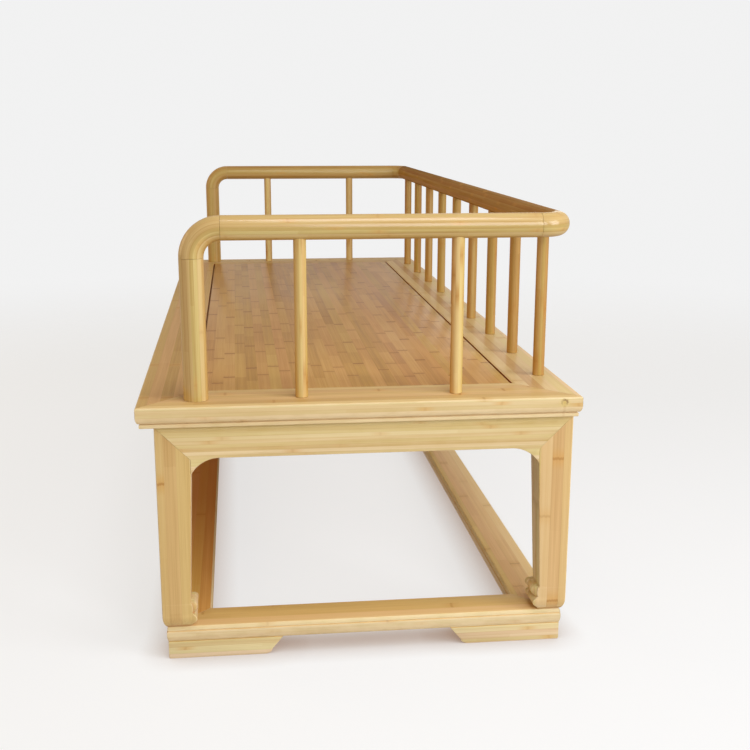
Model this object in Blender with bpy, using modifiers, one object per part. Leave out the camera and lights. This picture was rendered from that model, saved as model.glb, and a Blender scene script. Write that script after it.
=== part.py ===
# Bamboo bench with a low spindle railing on its back and both ends.
# Metres, +Z up, standing on the floor at z = 0 with the middle of the seat over the origin.
# X runs along the length. The open front faces -Y and the railed back faces +Y.
# "right" is the +X end and "left" the -X end, as seen from the front.
import math

import bmesh
import bpy
from mathutils import Matrix, Vector

# Overall sizes
LENGTH = 2.000
DEPTH = 0.750
SEAT_HEIGHT = 0.458
RAIL_RISE = 0.285  # axis of the arm and back rails above the seat

CLEARANCE = 0.0003  # gap between pieces that touch
CUT_MARGIN = 0.010  # how far a cutter stands out of the piece that it cuts

# Seat frame
SEAT_THICKNESS = 0.036
LONG_RAIL_WIDTH = 0.096
END_RAIL_WIDTH = 0.115
SEAT_ARRIS = 0.003  # rounding of the top edge
EDGE_FACE = 0.016  # depth below the seat top where the edge starts to turn in
EDGE_TIER = 0.0275  # depth below the seat top of the quirk under the upper tier
EDGE_TURN_IN = 0.006
QUIRK_DEPTH = 0.0025
QUIRK_HEIGHT = 0.0018
LIP_CHAMFER = 0.0015

# Seat panel, its tongue and the battens under it
PANEL_THICKNESS = 0.018
PANEL_GAP = 0.003  # open line between the panel and the long rails
TONGUE_THICKNESS = 0.006
GROOVE_DEPTH = 0.008
BATTEN_COUNT = 3
BATTEN_WIDTH = 0.050
BATTEN_TENON_LENGTH = 0.010
BATTEN_TENON_HEIGHT = 0.009
BATTEN_TENON_WIDTH = 0.036

# Tenons of the long rails, through the mitres into the end rails
SEAT_TENON_SET = 0.026  # from the outer edge of the long rail
SEAT_TENON_WIDTH = 0.036
SEAT_TENON_THICKNESS = 0.007
SEAT_TENON_STOP = 0.018  # tip of the tenon behind the outer face of the end rail
BASE_TENON_SET = 0.020
BASE_TENON_WIDTH = 0.034
BASE_TENON_THICKNESS = 0.006
BASE_TENON_STOP = 0.014

# Legs and aprons
FRONT_OVERHANG = 0.028  # seat edge beyond the leg faces
BACK_OVERHANG = 0.0095
END_OVERHANG = 0.019
LEG_WIDTH = 0.058
ANKLE_WIDTH = 0.049
LEG_TENON_LENGTH = 0.014
FOOT_TENON_LENGTH = 0.011
LEG_TENON_SHOULDER = 0.005
MITRE_LAND = 0.001  # peak of the leg's mitre below the seat
APRON_HEIGHT = 0.057
APRON_THICKNESS = 0.024
SPANDREL_LENGTH = 0.048
SPANDREL_DROP = 0.028

# Horse-hoof foot of the leg: two carved lobes with a notch between them
SOLE_INSET = 0.010
SOLE_ROUND_HEIGHT = 0.022
SOLE_HEIGHT = 0.0095  # underside of the lower lobe above the sole
SOLE_TOE = 0.012  # inner edge of the sole behind the tip of the lower lobe
LOWER_LOBE_RADIUS = 0.0150
LOWER_LOBE_SETBACK = 0.001  # tip of the lower lobe behind the upper one
LOWER_LOBE_SPAN = (-60, 45)  # degrees from level
UPPER_LOBE_RADIUS = 0.0115
UPPER_LOBE_SPAN = (-50, 90)
NOTCH_DEPTH = 0.006
NOTCH_RISE = 0.003  # notch above the lower lobe, and upper lobe above the notch

# Base frame and feet
BASE_SETBACK = 0.006  # base frame behind the leg faces
BASE_RAIL_WIDTH = 0.077
BASE_RAIL_HEIGHT = 0.028
BASE_BULGE = 0.004
BASE_QUIRK_DEPTH = 0.0025
BASE_QUIRK_SPAN = (19, 30)  # edges of the quirk on the bulge, in degrees above its middle
FOOT_HEIGHT = 0.0315
FOOT_LENGTH = 0.199
FOOT_SETBACK = 0.002
FOOT_SLANT_RUN = 0.019
FOOT_ROUND_RUN = 0.015  # rounding between the slant and the underside
FOOT_ROUND_RISE = 0.009
FOOT_DOWEL_DIAMETER = 0.010
FOOT_DOWEL_LENGTH = 0.028
FOOT_DOWEL_PLACES = (0.095, 0.145)  # from the outer end of a foot

# Round rails, posts and spindles
RAIL_DIAMETER = 0.041
ARM_LINE_INSET = 0.054  # arm rail axis from the end of the seat
BACK_LINE_INSET = 0.033  # back rail axis from the back edge of the seat
POST_INSET = 0.098  # post axis from the front edge of the seat
ELBOW_RADIUS = 0.048
CORNER_RADIUS = 0.038
POST_TENON_DIAMETER = 0.026
POST_TENON_LENGTH = 0.018
SPINDLE_DIAMETER = 0.0212
SPINDLE_TENON_DIAMETER = 0.013
SPINDLE_TENON_LENGTH = 0.016
SPINDLE_HOUSING = 0.012  # spindle top into the rail, above the rail's underside
ARM_SPINDLE_SPACING = 0.265
BACK_SPINDLE_COUNT = 9
BACK_SPINDLE_END_INSET = 0.176  # outermost back spindle from the end of the seat
SPIGOT_DIAMETER = 0.012  # round tenons at both ends of the bent pieces
SPIGOT_LENGTH = 0.018

# Facets
ARC_STEPS = 4
RAIL_SIDES = 16
BEND_RESOLUTION = 5
SPINDLE_SIDES = 12
SPIGOT_SIDES = 10

# Levels and lines that follow from the sizes above
SEAT_BOTTOM = SEAT_HEIGHT - SEAT_THICKNESS
LEG_TOP = SEAT_BOTTOM - CLEARANCE
BASE_BOTTOM = FOOT_HEIGHT + CLEARANCE
BASE_TOP = BASE_BOTTOM + BASE_RAIL_HEIGHT
LEG_BOTTOM = BASE_TOP + CLEARANCE
RAIL_AXIS = SEAT_HEIGHT + RAIL_RISE
RAIL_RADIUS = RAIL_DIAMETER / 2
ARM_X = LENGTH / 2 - ARM_LINE_INSET
BACK_Y = DEPTH / 2 - BACK_LINE_INSET
POST_Y = -DEPTH / 2 + POST_INSET
UP = Vector((0, 0, 1))

# Each corner: its name, the side of its end and of its face, and its quarter turns from the left front one
CORNERS = (
    ("left_front", -1, -1, 0),
    ("right_front", 1, -1, 1),
    ("right_back", 1, 1, 2),
    ("left_back", -1, 1, 3),
)
ENDS = (("left", -1), ("right", 1))


def clear_scene():
    for old in list(bpy.data.objects):
        bpy.data.objects.remove(old)


def make_collection(name):
    made = bpy.data.collections.new(name)
    bpy.context.scene.collection.children.link(made)
    return made


def make_material(name, colour, roughness):
    made = bpy.data.materials.new(name)
    made.use_nodes = True
    shader = made.node_tree.nodes["Principled BSDF"]
    shader.inputs["Base Color"].default_value = (*colour, 1.0)
    shader.inputs["Roughness"].default_value = roughness
    shader.inputs["Metallic"].default_value = 0.0
    return made


def add_part(name, mesh, finish, place=Matrix()):
    part = bpy.data.objects.new(name, mesh)
    PARTS.objects.link(part)
    part.parent = STAND
    part.matrix_world = place
    part.data.materials.clear()
    part.data.materials.append(finish)
    return part


def mesh_of(name, shapes):
    mesh = bpy.data.meshes.new(name)
    shapes.to_mesh(mesh)
    shapes.free()
    return mesh


def add_cutter_mesh(name, mesh, place=Matrix()):
    cutter = bpy.data.objects.new(name, mesh)
    CUTTERS.objects.link(cutter)
    cutter.matrix_world = place
    cutter.hide_render = True
    cutter.display_type = "WIRE"
    return cutter


def add_cutter(name, shapes):
    return add_cutter_mesh(name, mesh_of(name, shapes))


def combine(part, other, operation="DIFFERENCE"):
    boolean = part.modifiers.new(operation.lower() + "_" + other.name, "BOOLEAN")
    boolean.operation = operation
    boolean.solver = "EXACT"
    boolean.object = other


def evaluated_mesh(source):
    view = bpy.context.evaluated_depsgraph_get()
    return bpy.data.meshes.new_from_object(source.evaluated_get(view))


def weld(mesh):
    welded = bmesh.new()
    welded.from_mesh(mesh)
    bmesh.ops.remove_doubles(welded, verts=welded.verts, dist=0.00001)
    bmesh.ops.recalc_face_normals(welded, faces=welded.faces)
    welded.to_mesh(mesh)
    welded.free()
    return mesh


def curve_to_mesh(curve):
    # A curve's solid as a welded mesh. The curve itself is removed.
    holder = bpy.data.objects.new(curve.name, curve)
    bpy.context.scene.collection.objects.link(holder)
    mesh = evaluated_mesh(holder)
    bpy.data.objects.remove(holder)
    return weld(mesh)


def outline_mesh(name, points, thickness):
    # A flat outline, filled, with its thickness centred on its own plane.
    curve = bpy.data.curves.new(name, "CURVE")
    curve.dimensions = "2D"
    curve.fill_mode = "BOTH"
    curve.extrude = thickness / 2
    spline = curve.splines.new("POLY")
    spline.points.add(len(points) - 1)
    for vertex, (across, up) in zip(spline.points, points):
        vertex.co = (across, up, 0, 1)
    spline.use_cyclic_u = True
    return curve_to_mesh(curve)


def upright(across, origin):
    # Places an outline standing up: its width along "across", its height along +Z.
    across = Vector(across)
    normal = across.cross(UP)
    rows = [(across[i], UP[i], normal[i], origin[i]) for i in range(3)]
    return Matrix((*rows, (0, 0, 0, 1)))


def quarter_turn(turns, origin):
    return Matrix.Translation(origin) @ Matrix.Rotation(turns * math.pi / 2, 4, "Z")


def arc(centre, radii, start, end, steps=ARC_STEPS):
    # Points on an elliptical arc, angles in degrees.
    points = []
    for step in range(steps + 1):
        angle = math.radians(start + (end - start) * step / steps)
        points.append((centre[0] + radii[0] * math.cos(angle), centre[1] + radii[1] * math.sin(angle)))
    return points


def add_box(shapes, low, high, place=Matrix()):
    low = Vector(low)
    high = Vector(high)
    size = Matrix.Diagonal((*(high - low), 1))
    bmesh.ops.create_cube(shapes, size=1, matrix=place @ Matrix.Translation((low + high) / 2) @ size)


def half_step(sides):
    # Turns a round piece so that a flat, not a ridge, faces along its X axis.
    return Matrix.Rotation(math.pi / sides, 4, "Z")


def add_rod(shapes, start, end, diameter, sides):
    start = Vector(start)
    end = Vector(end)
    turn = (end - start).to_track_quat("Z", "Y").to_matrix().to_4x4()
    bmesh.ops.create_cone(
        shapes,
        cap_ends=True,
        segments=sides,
        radius1=diameter / 2,
        radius2=diameter / 2,
        depth=(end - start).length,
        matrix=Matrix.Translation((start + end) / 2) @ turn @ half_step(sides),
    )


def box_mesh(name, low, high):
    shapes = bmesh.new()
    add_box(shapes, low, high)
    return mesh_of(name, shapes)


def shade_round(mesh):
    mesh.shade_smooth()
    mesh.set_sharp_from_angle(angle=math.radians(35))


# Seat frame


def seat_edge():
    # Outer edge of the seat, top to bottom: rounded arris, upright tier, turn-in, quirk and lip.
    tier = SEAT_THICKNESS - EDGE_FACE
    quirk = SEAT_THICKNESS - EDGE_TIER
    points = arc((SEAT_ARRIS, SEAT_THICKNESS - SEAT_ARRIS), (SEAT_ARRIS, SEAT_ARRIS), 90, 180, 2)
    points += arc((EDGE_TURN_IN, tier), (EDGE_TURN_IN, tier - quirk), 180, 270, 3)
    points.append((EDGE_TURN_IN + QUIRK_DEPTH, quirk))
    points.append((EDGE_TURN_IN + QUIRK_DEPTH, quirk - QUIRK_HEIGHT))
    points.append((EDGE_TURN_IN, quirk - QUIRK_HEIGHT))
    points.append((EDGE_TURN_IN, LIP_CHAMFER))
    points.append((EDGE_TURN_IN + LIP_CHAMFER, 0))
    return points


def seat_rail_outline(width):
    groove_low = SEAT_THICKNESS - PANEL_THICKNESS - CLEARANCE
    groove_high = groove_low + TONGUE_THICKNESS + 2 * CLEARANCE
    inner = [
        (width, 0),
        (width, groove_low),
        (width - GROOVE_DEPTH, groove_low),
        (width - GROOVE_DEPTH, groove_high),
        (width, groove_high),
        (width, SEAT_THICKNESS),
    ]
    return seat_edge() + inner


def mitred_rail(name, outline, length, slope):
    # A rail whose ends are drawn back from its outer edge, by "slope" for each metre across it.
    mesh = outline_mesh(name, outline, length)
    for vertex in mesh.vertices:
        drawn_back = vertex.co.x * slope + CLEARANCE
        vertex.co.z -= math.copysign(drawn_back, vertex.co.z)
    return mesh


def frame_of_rails(prefix, finish, half_length, front, back, bottom, outline_of, widths):
    # Two long rails and two end rails, mitred at the corners. widths: of the long and of the end rails.
    middle = (front + back) / 2
    long_width, end_width = widths
    rails = {}
    for side, across, y in (("front", (0, 1, 0), front), ("back", (0, -1, 0), back)):
        name = prefix + "_" + side + "_rail"
        mesh = mitred_rail(name, outline_of(long_width), 2 * half_length, end_width / long_width)
        rails[side] = add_part(name, mesh, finish, upright(across, (0, y, bottom)))
    for end, sign in ENDS:
        name = prefix + "_end_rail_" + end
        mesh = mitred_rail(name, outline_of(end_width), back - front, long_width / end_width)
        place = upright((-sign, 0, 0), (sign * half_length, middle, bottom))
        rails[end] = add_part(name, mesh, finish, place)
    return rails


def make_seat_panel(finish):
    half_length = LENGTH / 2 - END_RAIL_WIDTH
    half_width = DEPTH / 2 - LONG_RAIL_WIDTH
    bottom = SEAT_HEIGHT - PANEL_THICKNESS
    reach = GROOVE_DEPTH - CLEARANCE
    tongue = box_mesh(
        "seat_panel",
        (-half_length - reach, -half_width - reach, bottom),
        (half_length + reach, half_width + reach, bottom + TONGUE_THICKNESS),
    )
    board_x = half_length - CLEARANCE
    board_y = half_width - PANEL_GAP
    board = bmesh.new()
    overlap = TONGUE_THICKNESS / 2
    add_box(board, (-board_x, -board_y, bottom + overlap), (board_x, board_y, SEAT_HEIGHT))
    panel = add_part("seat_panel", tongue, finish)
    combine(panel, add_cutter("panel_board", board), "UNION")


def batten_places():
    spacing = (LENGTH - 2 * END_RAIL_WIDTH) / (BATTEN_COUNT + 1)
    return [(index - (BATTEN_COUNT - 1) / 2) * spacing for index in range(BATTEN_COUNT)]


def add_batten_tenon(shapes, x, fit):
    # The tenon bar of a batten, through both long rails' inner faces, grown all round by "fit".
    half = DEPTH / 2 - LONG_RAIL_WIDTH + BATTEN_TENON_LENGTH + fit
    middle = SEAT_BOTTOM + (SEAT_THICKNESS - PANEL_THICKNESS) / 2
    low = (x - BATTEN_TENON_WIDTH / 2 - fit, -half, middle - BATTEN_TENON_HEIGHT / 2 - fit)
    high = (x + BATTEN_TENON_WIDTH / 2 + fit, half, middle + BATTEN_TENON_HEIGHT / 2 + fit)
    add_box(shapes, low, high)


def make_battens(finish, seat):
    half = DEPTH / 2 - LONG_RAIL_WIDTH - CLEARANCE
    top = SEAT_HEIGHT - PANEL_THICKNESS - CLEARANCE
    mortises = bmesh.new()
    for index, x in enumerate(batten_places()):
        name = "seat_batten_" + str(index + 1)
        body = box_mesh(name, (x - BATTEN_WIDTH / 2, -half, SEAT_BOTTOM), (x + BATTEN_WIDTH / 2, half, top))
        batten = add_part(name, body, finish)
        tenon = bmesh.new()
        add_batten_tenon(tenon, x, 0)
        combine(batten, add_cutter(name + "_tenon", tenon), "UNION")
        add_batten_tenon(mortises, x, CLEARANCE)
    cutter = add_cutter("batten_mortises", mortises)
    combine(seat["front"], cutter)
    combine(seat["back"], cutter)


# Tenons through the mitred corners


def add_corner_tenon(shapes, frame, sizes, side, sign, fit):
    # One tenon of the front or back rail, at one end, grown all round by "fit".
    half_length, edge, middle = frame
    offset, width, thickness, stop, root = sizes
    tip = sign * (half_length - stop + fit)
    heel = sign * (half_length - root)
    near = edge - side * (offset - fit)
    far = edge - side * (offset + width + fit)
    low = (min(tip, heel), min(near, far), middle - thickness / 2 - fit)
    high = (max(tip, heel), max(near, far), middle + thickness / 2 + fit)
    add_box(shapes, low, high)


def join_corners(prefix, rails, half_length, edges, middle, sizes):
    # Tenons become part of the long rails, and the end rails are mortised for them.
    mortises = bmesh.new()
    for name, side, edge in (("front", -1, edges[0]), ("back", 1, edges[1])):
        tenons = bmesh.new()
        for end, sign in ENDS:
            frame = (half_length, edge, middle)
            add_corner_tenon(tenons, frame, sizes, side, sign, 0)
            add_corner_tenon(mortises, frame, sizes, side, sign, CLEARANCE)
        combine(rails[name], add_cutter(prefix + "_" + name + "_tenons", tenons), "UNION")
    cutter = add_cutter(prefix + "_corner_mortises", mortises)
    for end, sign in ENDS:
        combine(rails[end], cutter)


def leg_corner(end_side, face_side):
    face = -DEPTH / 2 + FRONT_OVERHANG if face_side < 0 else DEPTH / 2 - BACK_OVERHANG
    return (end_side * (LENGTH / 2 - END_OVERHANG), face)


def base_corner(end_side, face_side):
    x, y = leg_corner(end_side, face_side)
    return (x - end_side * BASE_SETBACK, y - face_side * BASE_SETBACK)


# Legs and aprons


def outer_side():
    # Outer face of the leg above its sole, bottom to top, as distance from the face and height.
    centre = (SOLE_INSET, LEG_BOTTOM + SOLE_ROUND_HEIGHT)
    return arc(centre, (SOLE_INSET, SOLE_ROUND_HEIGHT), 270, 180, 3) + [(0, LEG_TOP)]


def raised(points, height):
    # The same points, lifted so that the first is at this height.
    lift = height - points[0][1]
    return [(across, up + lift) for across, up in points]


def inner_side():
    # Inner side of the leg, bottom to top: toe, lower lobe, notch, upper lobe, taper and upright shoulder.
    shoulder = LEG_TOP - APRON_HEIGHT - SPANDREL_DROP
    tip = ANKLE_WIDTH + UPPER_LOBE_RADIUS
    lower_tip = tip - LOWER_LOBE_SETBACK
    lower_centre = (lower_tip - LOWER_LOBE_RADIUS, 0)
    lower = arc(lower_centre, (LOWER_LOBE_RADIUS, LOWER_LOBE_RADIUS), *LOWER_LOBE_SPAN, 4)
    upper = arc((ANKLE_WIDTH, 0), (UPPER_LOBE_RADIUS, UPPER_LOBE_RADIUS), *UPPER_LOBE_SPAN, 5)
    points = [(lower_tip - SOLE_TOE, LEG_BOTTOM)]
    points += raised(lower, LEG_BOTTOM + SOLE_HEIGHT)
    notch = points[-1][1] + NOTCH_RISE
    points.append((tip - NOTCH_DEPTH, notch))
    points += raised(upper, notch + NOTCH_RISE)
    points += [(LEG_WIDTH, shoulder), (LEG_WIDTH, LEG_TOP)]
    return points


def side_at(points, height):
    # Where a side of the leg lies at this height, on the straight line between two of its points.
    for (low, below), (high, above) in zip(points, points[1:]):
        if height <= above:
            break
    return low + (high - low) * (height - below) / (above - below)


def leg_levels():
    # Square sections up the leg: height, distance of the outer and of the inner sides from the outer faces.
    tenon_low = APRON_THICKNESS + LEG_TENON_SHOULDER
    tenon_high = LEG_WIDTH - LEG_TENON_SHOULDER
    foot_high = ANKLE_WIDTH - LEG_TENON_SHOULDER
    outer = outer_side()
    inner = inner_side()
    between = sorted({round(up, 4) for across, up in outer + inner})[1:-1]
    levels = [(LEG_BOTTOM - FOOT_TENON_LENGTH, tenon_low, foot_high), (LEG_BOTTOM, tenon_low, foot_high)]
    for height in (LEG_BOTTOM, *between, LEG_TOP):
        levels.append((height, side_at(outer, height), side_at(inner, height)))
    levels += [(LEG_TOP, tenon_low, tenon_high), (LEG_TOP + LEG_TENON_LENGTH, tenon_low, tenon_high)]
    return levels


def square_place(level):
    # Takes a unit square on the ground to one section of the leg.
    height, low, high = level
    middle = (low + high) / 2
    return Matrix.Translation((middle, middle, height)) @ Matrix.Diagonal((high - low, high - low, 1, 1))


def leg_stock_mesh():
    # A square drawn up the leg section by section. Outer faces at x = 0 and y = 0.
    levels = leg_levels()
    stock = bmesh.new()
    bmesh.ops.create_grid(stock, x_segments=1, y_segments=1, size=0.5, matrix=square_place(levels[0]))
    top = stock.faces[:]
    for below, above in zip(levels, levels[1:]):
        grown = bmesh.ops.extrude_face_region(stock, geom=top, use_keep_orig=below is levels[0])["geom"]
        bmesh.ops.delete(stock, geom=[face for face in top if below is not levels[0]], context="FACES_ONLY")
        top = [item for item in grown if isinstance(item, bmesh.types.BMFace)]
        corners = [item for item in grown if isinstance(item, bmesh.types.BMVert)]
        change = square_place(above) @ square_place(below).inverted()
        bmesh.ops.transform(stock, matrix=change, verts=corners)
    bmesh.ops.recalc_face_normals(stock, faces=stock.faces)
    return mesh_of("leg", stock)


def outline_cutter(name, points, thickness, place):
    return add_cutter_mesh(name, outline_mesh(name, points, thickness), place)


def leg_mesh():
    # The leg in its own frame, cut back for the mitred ends of the two aprons.
    leg = add_cutter_mesh("leg_stock", leg_stock_mesh())
    far = LEG_WIDTH + CUT_MARGIN
    peak = LEG_TOP - MITRE_LAND
    mitre = [(-CUT_MARGIN, peak + CUT_MARGIN), (far, peak - far), (far, peak + CUT_MARGIN)]
    deep = APRON_THICKNESS + CLEARANCE
    middle = (deep - CUT_MARGIN) / 2
    cut = deep + CUT_MARGIN
    combine(leg, outline_cutter("leg_mitre_end", mitre, cut, upright((0, 1, 0), (middle, 0, 0))))
    combine(leg, outline_cutter("leg_mitre_face", mitre, cut, upright((1, 0, 0), (0, middle, 0))))
    mesh = evaluated_mesh(leg)
    bpy.data.objects.remove(leg)
    return weld(mesh)


def add_leg_tenons(shapes, place, fit):
    # Spaces for the tenons at the top and bottom of a leg.
    low = APRON_THICKNESS + LEG_TENON_SHOULDER - fit
    high = LEG_WIDTH - LEG_TENON_SHOULDER + fit
    foot_high = ANKLE_WIDTH - LEG_TENON_SHOULDER + fit
    top = LEG_TOP + LEG_TENON_LENGTH + fit
    bottom = LEG_BOTTOM - FOOT_TENON_LENGTH - fit
    add_box(shapes, (low, low, LEG_TOP - CUT_MARGIN), (high, high, top), place)
    add_box(shapes, (low, low, bottom), (foot_high, foot_high, LEG_BOTTOM + CUT_MARGIN), place)


def make_legs(finish, seat, base):
    mesh = leg_mesh()
    mortises = bmesh.new()
    for corner, end_side, face_side, turns in CORNERS:
        place = quarter_turn(turns, (*leg_corner(end_side, face_side), 0))
        add_part("leg_" + corner, mesh.copy(), finish, place)
        add_leg_tenons(mortises, place, CLEARANCE)
    cutter = add_cutter("leg_mortises", mortises)
    for rail in (*seat.values(), *base.values()):
        combine(rail, cutter)


def apron_outline(span):
    # Mitred at both ends, with a curved spandrel running down each leg. Measured from the middle.
    gap = CLEARANCE * math.sqrt(2)
    leg = LEG_WIDTH + CLEARANCE
    bottom = LEG_TOP - APRON_HEIGHT
    radius = (SPANDREL_LENGTH**2 + SPANDREL_DROP**2) / (2 * SPANDREL_DROP)
    sweep = math.degrees(math.asin(SPANDREL_LENGTH / radius))
    curve = arc((leg + SPANDREL_LENGTH, bottom - radius), (radius, radius), 90 + sweep, 90, 5)
    peak = LEG_TOP - MITRE_LAND + gap
    half = [(0, LEG_TOP), (0, peak), (leg, peak - leg)] + curve
    left = [(across - span / 2, up) for across, up in half]
    right = [(-across, up) for across, up in reversed(left)]
    return left + right


def apron_mesh(name, span):
    mesh = outline_mesh(name, apron_outline(span), APRON_THICKNESS)
    solid = bmesh.new()
    solid.from_mesh(mesh)
    bmesh.ops.dissolve_limit(solid, angle_limit=math.radians(1), verts=solid.verts, edges=solid.edges)
    for side in (-1, 1):
        # Where two aprons meet above the leg, each is cut on the diagonal of the corner.
        everything = solid.verts[:] + solid.edges[:] + solid.faces[:]
        outer_edge = (side * (span / 2 - CLEARANCE), 0, APRON_THICKNESS / 2)
        bmesh.ops.bisect_plane(
            solid,
            geom=everything,
            dist=0.000001,
            plane_co=outer_edge,
            plane_no=(side, 0, -1),
            clear_outer=True,
        )
        bmesh.ops.holes_fill(solid, edges=[edge for edge in solid.edges if edge.is_boundary])
    bmesh.ops.recalc_face_normals(solid, faces=solid.faces)
    solid.to_mesh(mesh)
    solid.free()
    return mesh


def make_aprons(finish):
    x, front = leg_corner(1, -1)
    back = leg_corner(1, 1)[1]
    middle = (front + back) / 2
    half = APRON_THICKNESS / 2
    for side, across, y in (("front", (1, 0, 0), front + half), ("back", (-1, 0, 0), back - half)):
        name = "apron_" + side
        add_part(name, apron_mesh(name, 2 * x), finish, upright(across, (0, y, 0)))
    for end, sign in ENDS:
        name = "apron_" + end
        place = upright((0, sign, 0), (sign * (x - half), middle, 0))
        add_part(name, apron_mesh(name, back - front), finish, place)


# Base frame and feet


def base_outline(width):
    # Both edges bulge, with a quirk above the middle.
    half = BASE_RAIL_HEIGHT / 2
    bulge = ((BASE_BULGE, half), (BASE_BULGE, half))
    low, high = BASE_QUIRK_SPAN
    below = arc(*bulge, 270, 180, 2) + arc(*bulge, 180, 180 - low, 1)[1:]
    above = arc(*bulge, 180 - high, 90, 1)
    quirk = (below[-1][0] + BASE_QUIRK_DEPTH, (below[-1][1] + above[0][1]) / 2)
    edge = [*below, quirk, *above]
    inner = [(width - across, up) for across, up in reversed(edge)]
    return edge + inner


def foot_outline():
    # Square at the outer end, slanted and rounded under at the inner end.
    toe = FOOT_LENGTH - FOOT_SLANT_RUN - FOOT_ROUND_RUN
    rounding = arc((toe, FOOT_ROUND_RISE), (FOOT_ROUND_RUN, FOOT_ROUND_RISE), 270, 360, 2)
    return [(0, 0), *rounding, (FOOT_LENGTH, FOOT_HEIGHT), (0, FOOT_HEIGHT)]


def make_feet(finish, peg_finish, base):
    thickness = BASE_RAIL_WIDTH - 2 * FOOT_SETBACK
    bores = bmesh.new()
    feet = []
    for corner, end_side, face_side, turns in CORNERS:
        x, y = base_corner(end_side, face_side)
        x -= end_side * (FOOT_SETBACK + thickness / 2)
        y -= face_side * FOOT_SETBACK
        name = "foot_" + corner
        mesh = outline_mesh(name, foot_outline(), thickness)
        feet.append(add_part(name, mesh, finish, upright((0, -face_side, 0), (x, y, 0))))
        for index, place in enumerate(FOOT_DOWEL_PLACES):
            low = Vector((x, y - face_side * place, FOOT_HEIGHT - FOOT_DOWEL_LENGTH / 2))
            high = low + UP * FOOT_DOWEL_LENGTH
            fit = UP * CLEARANCE
            dowel = bmesh.new()
            add_rod(dowel, low, high, FOOT_DOWEL_DIAMETER, SPINDLE_SIDES)
            name = "foot_dowel_" + corner + "_" + str(index + 1)
            add_part(name, mesh_of(name, dowel), peg_finish)
            add_rod(bores, low - fit, high + fit, FOOT_DOWEL_DIAMETER + 2 * CLEARANCE, SPINDLE_SIDES)
    cutter = add_cutter("foot_dowel_bores", bores)
    for piece in (*feet, base["left"], base["right"]):
        combine(piece, cutter)


# Round rails, posts and spindles


def rod_mesh(name, start, end):
    curve = bpy.data.curves.new(name, "CURVE")
    spline = curve.splines.new("POLY")
    spline.points.add(1)
    spline.points[0].co = (*start, 1)
    spline.points[1].co = (*end, 1)
    return round_solid(curve)


def bend_mesh(name, start, crown, end):
    # A quarter bend. "crown" is where the lines of its two ends cross.
    curve = bpy.data.curves.new(name, "CURVE")
    spline = curve.splines.new("BEZIER")
    spline.bezier_points.add(1)
    spline.resolution_u = BEND_RESOLUTION
    hold = 4 / 3 * math.tan(math.pi / 8)  # handle length for a quarter circle
    for point, place in zip(spline.bezier_points, (Vector(start), Vector(end))):
        towards = place + (Vector(crown) - place) * hold
        point.co = place
        point.handle_left_type = "FREE"
        point.handle_right_type = "FREE"
        point.handle_left = 2 * place - towards if place == Vector(start) else towards
        point.handle_right = towards if place == Vector(start) else 2 * place - towards
    return round_solid(curve)


def round_solid(curve):
    curve.dimensions = "3D"
    curve.bevel_depth = RAIL_RADIUS
    curve.bevel_resolution = RAIL_SIDES // 2 - 2
    curve.use_fill_caps = True
    mesh = curve_to_mesh(curve)
    shade_round(mesh)
    return mesh


def turned_part(name, profile, finish, sides, foot):
    # "profile" gives radius and height, top to bottom. "foot" is where its axis stands.
    mesh = bpy.data.meshes.new(name)
    corners = [(radius, 0, height) for radius, height in profile]
    edges = [(index, index + 1) for index in range(len(profile) - 1)]
    mesh.from_pydata(corners, edges, [])
    part = add_part(name, mesh, finish, Matrix.Translation((*foot, 0)) @ half_step(sides))
    screw = part.modifiers.new("turning", "SCREW")
    screw.axis = "Z"
    screw.angle = 2 * math.pi
    screw.steps = sides
    screw.render_steps = sides
    screw.use_merge_vertices = True
    screw.merge_threshold = 0.00001
    screw.use_smooth_shade = False
    return part


def stub_profile(radius, top, tenon_radius, tenon_length):
    # A plain round piece standing on the seat, with a round tenon going down into it.
    shoulder = SEAT_HEIGHT + CLEARANCE
    bottom = SEAT_HEIGHT - tenon_length
    return [
        (0, top),
        (radius, top),
        (radius, shoulder),
        (tenon_radius, shoulder),
        (tenon_radius, bottom),
        (0, bottom),
    ]


def add_seat_bore(shapes, spot, diameter, depth, sides):
    low = (*spot, SEAT_HEIGHT - depth - CLEARANCE)
    high = (*spot, SEAT_HEIGHT + CUT_MARGIN)
    add_rod(shapes, low, high, diameter + 2 * CLEARANCE, sides)


def make_spindles(finish, spots, seat_rails, rails, group):
    # One spindle at each named spot, housed in the rail above and tenoned into the seat rail below.
    top = RAIL_AXIS - RAIL_RADIUS + SPINDLE_HOUSING
    bores = bmesh.new()
    for name, spot in spots:
        profile = stub_profile(SPINDLE_DIAMETER / 2, top, SPINDLE_TENON_DIAMETER / 2, SPINDLE_TENON_LENGTH)
        turned_part(name, profile, finish, SPINDLE_SIDES, spot)
        add_seat_bore(bores, spot, SPINDLE_TENON_DIAMETER, SPINDLE_TENON_LENGTH, SPINDLE_SIDES)
        low = (*spot, RAIL_AXIS - RAIL_RADIUS - CUT_MARGIN)
        add_rod(bores, low, (*spot, top + CLEARANCE), SPINDLE_DIAMETER + 2 * CLEARANCE, SPINDLE_SIDES)
    cutter = add_cutter(group + "_spindle_bores", bores)
    for piece in (*seat_rails, *rails):
        combine(piece, cutter)


def add_spigot(shapes, end, outward, fit):
    # A round tenon standing out of one end of a bent piece, rooted inside it.
    outward = Vector(outward)
    root = Vector(end) - outward * SPIGOT_LENGTH / 2
    tip = Vector(end) + outward * (SPIGOT_LENGTH + fit)
    add_rod(shapes, root, tip, SPIGOT_DIAMETER + 2 * fit, SPIGOT_SIDES)


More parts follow.
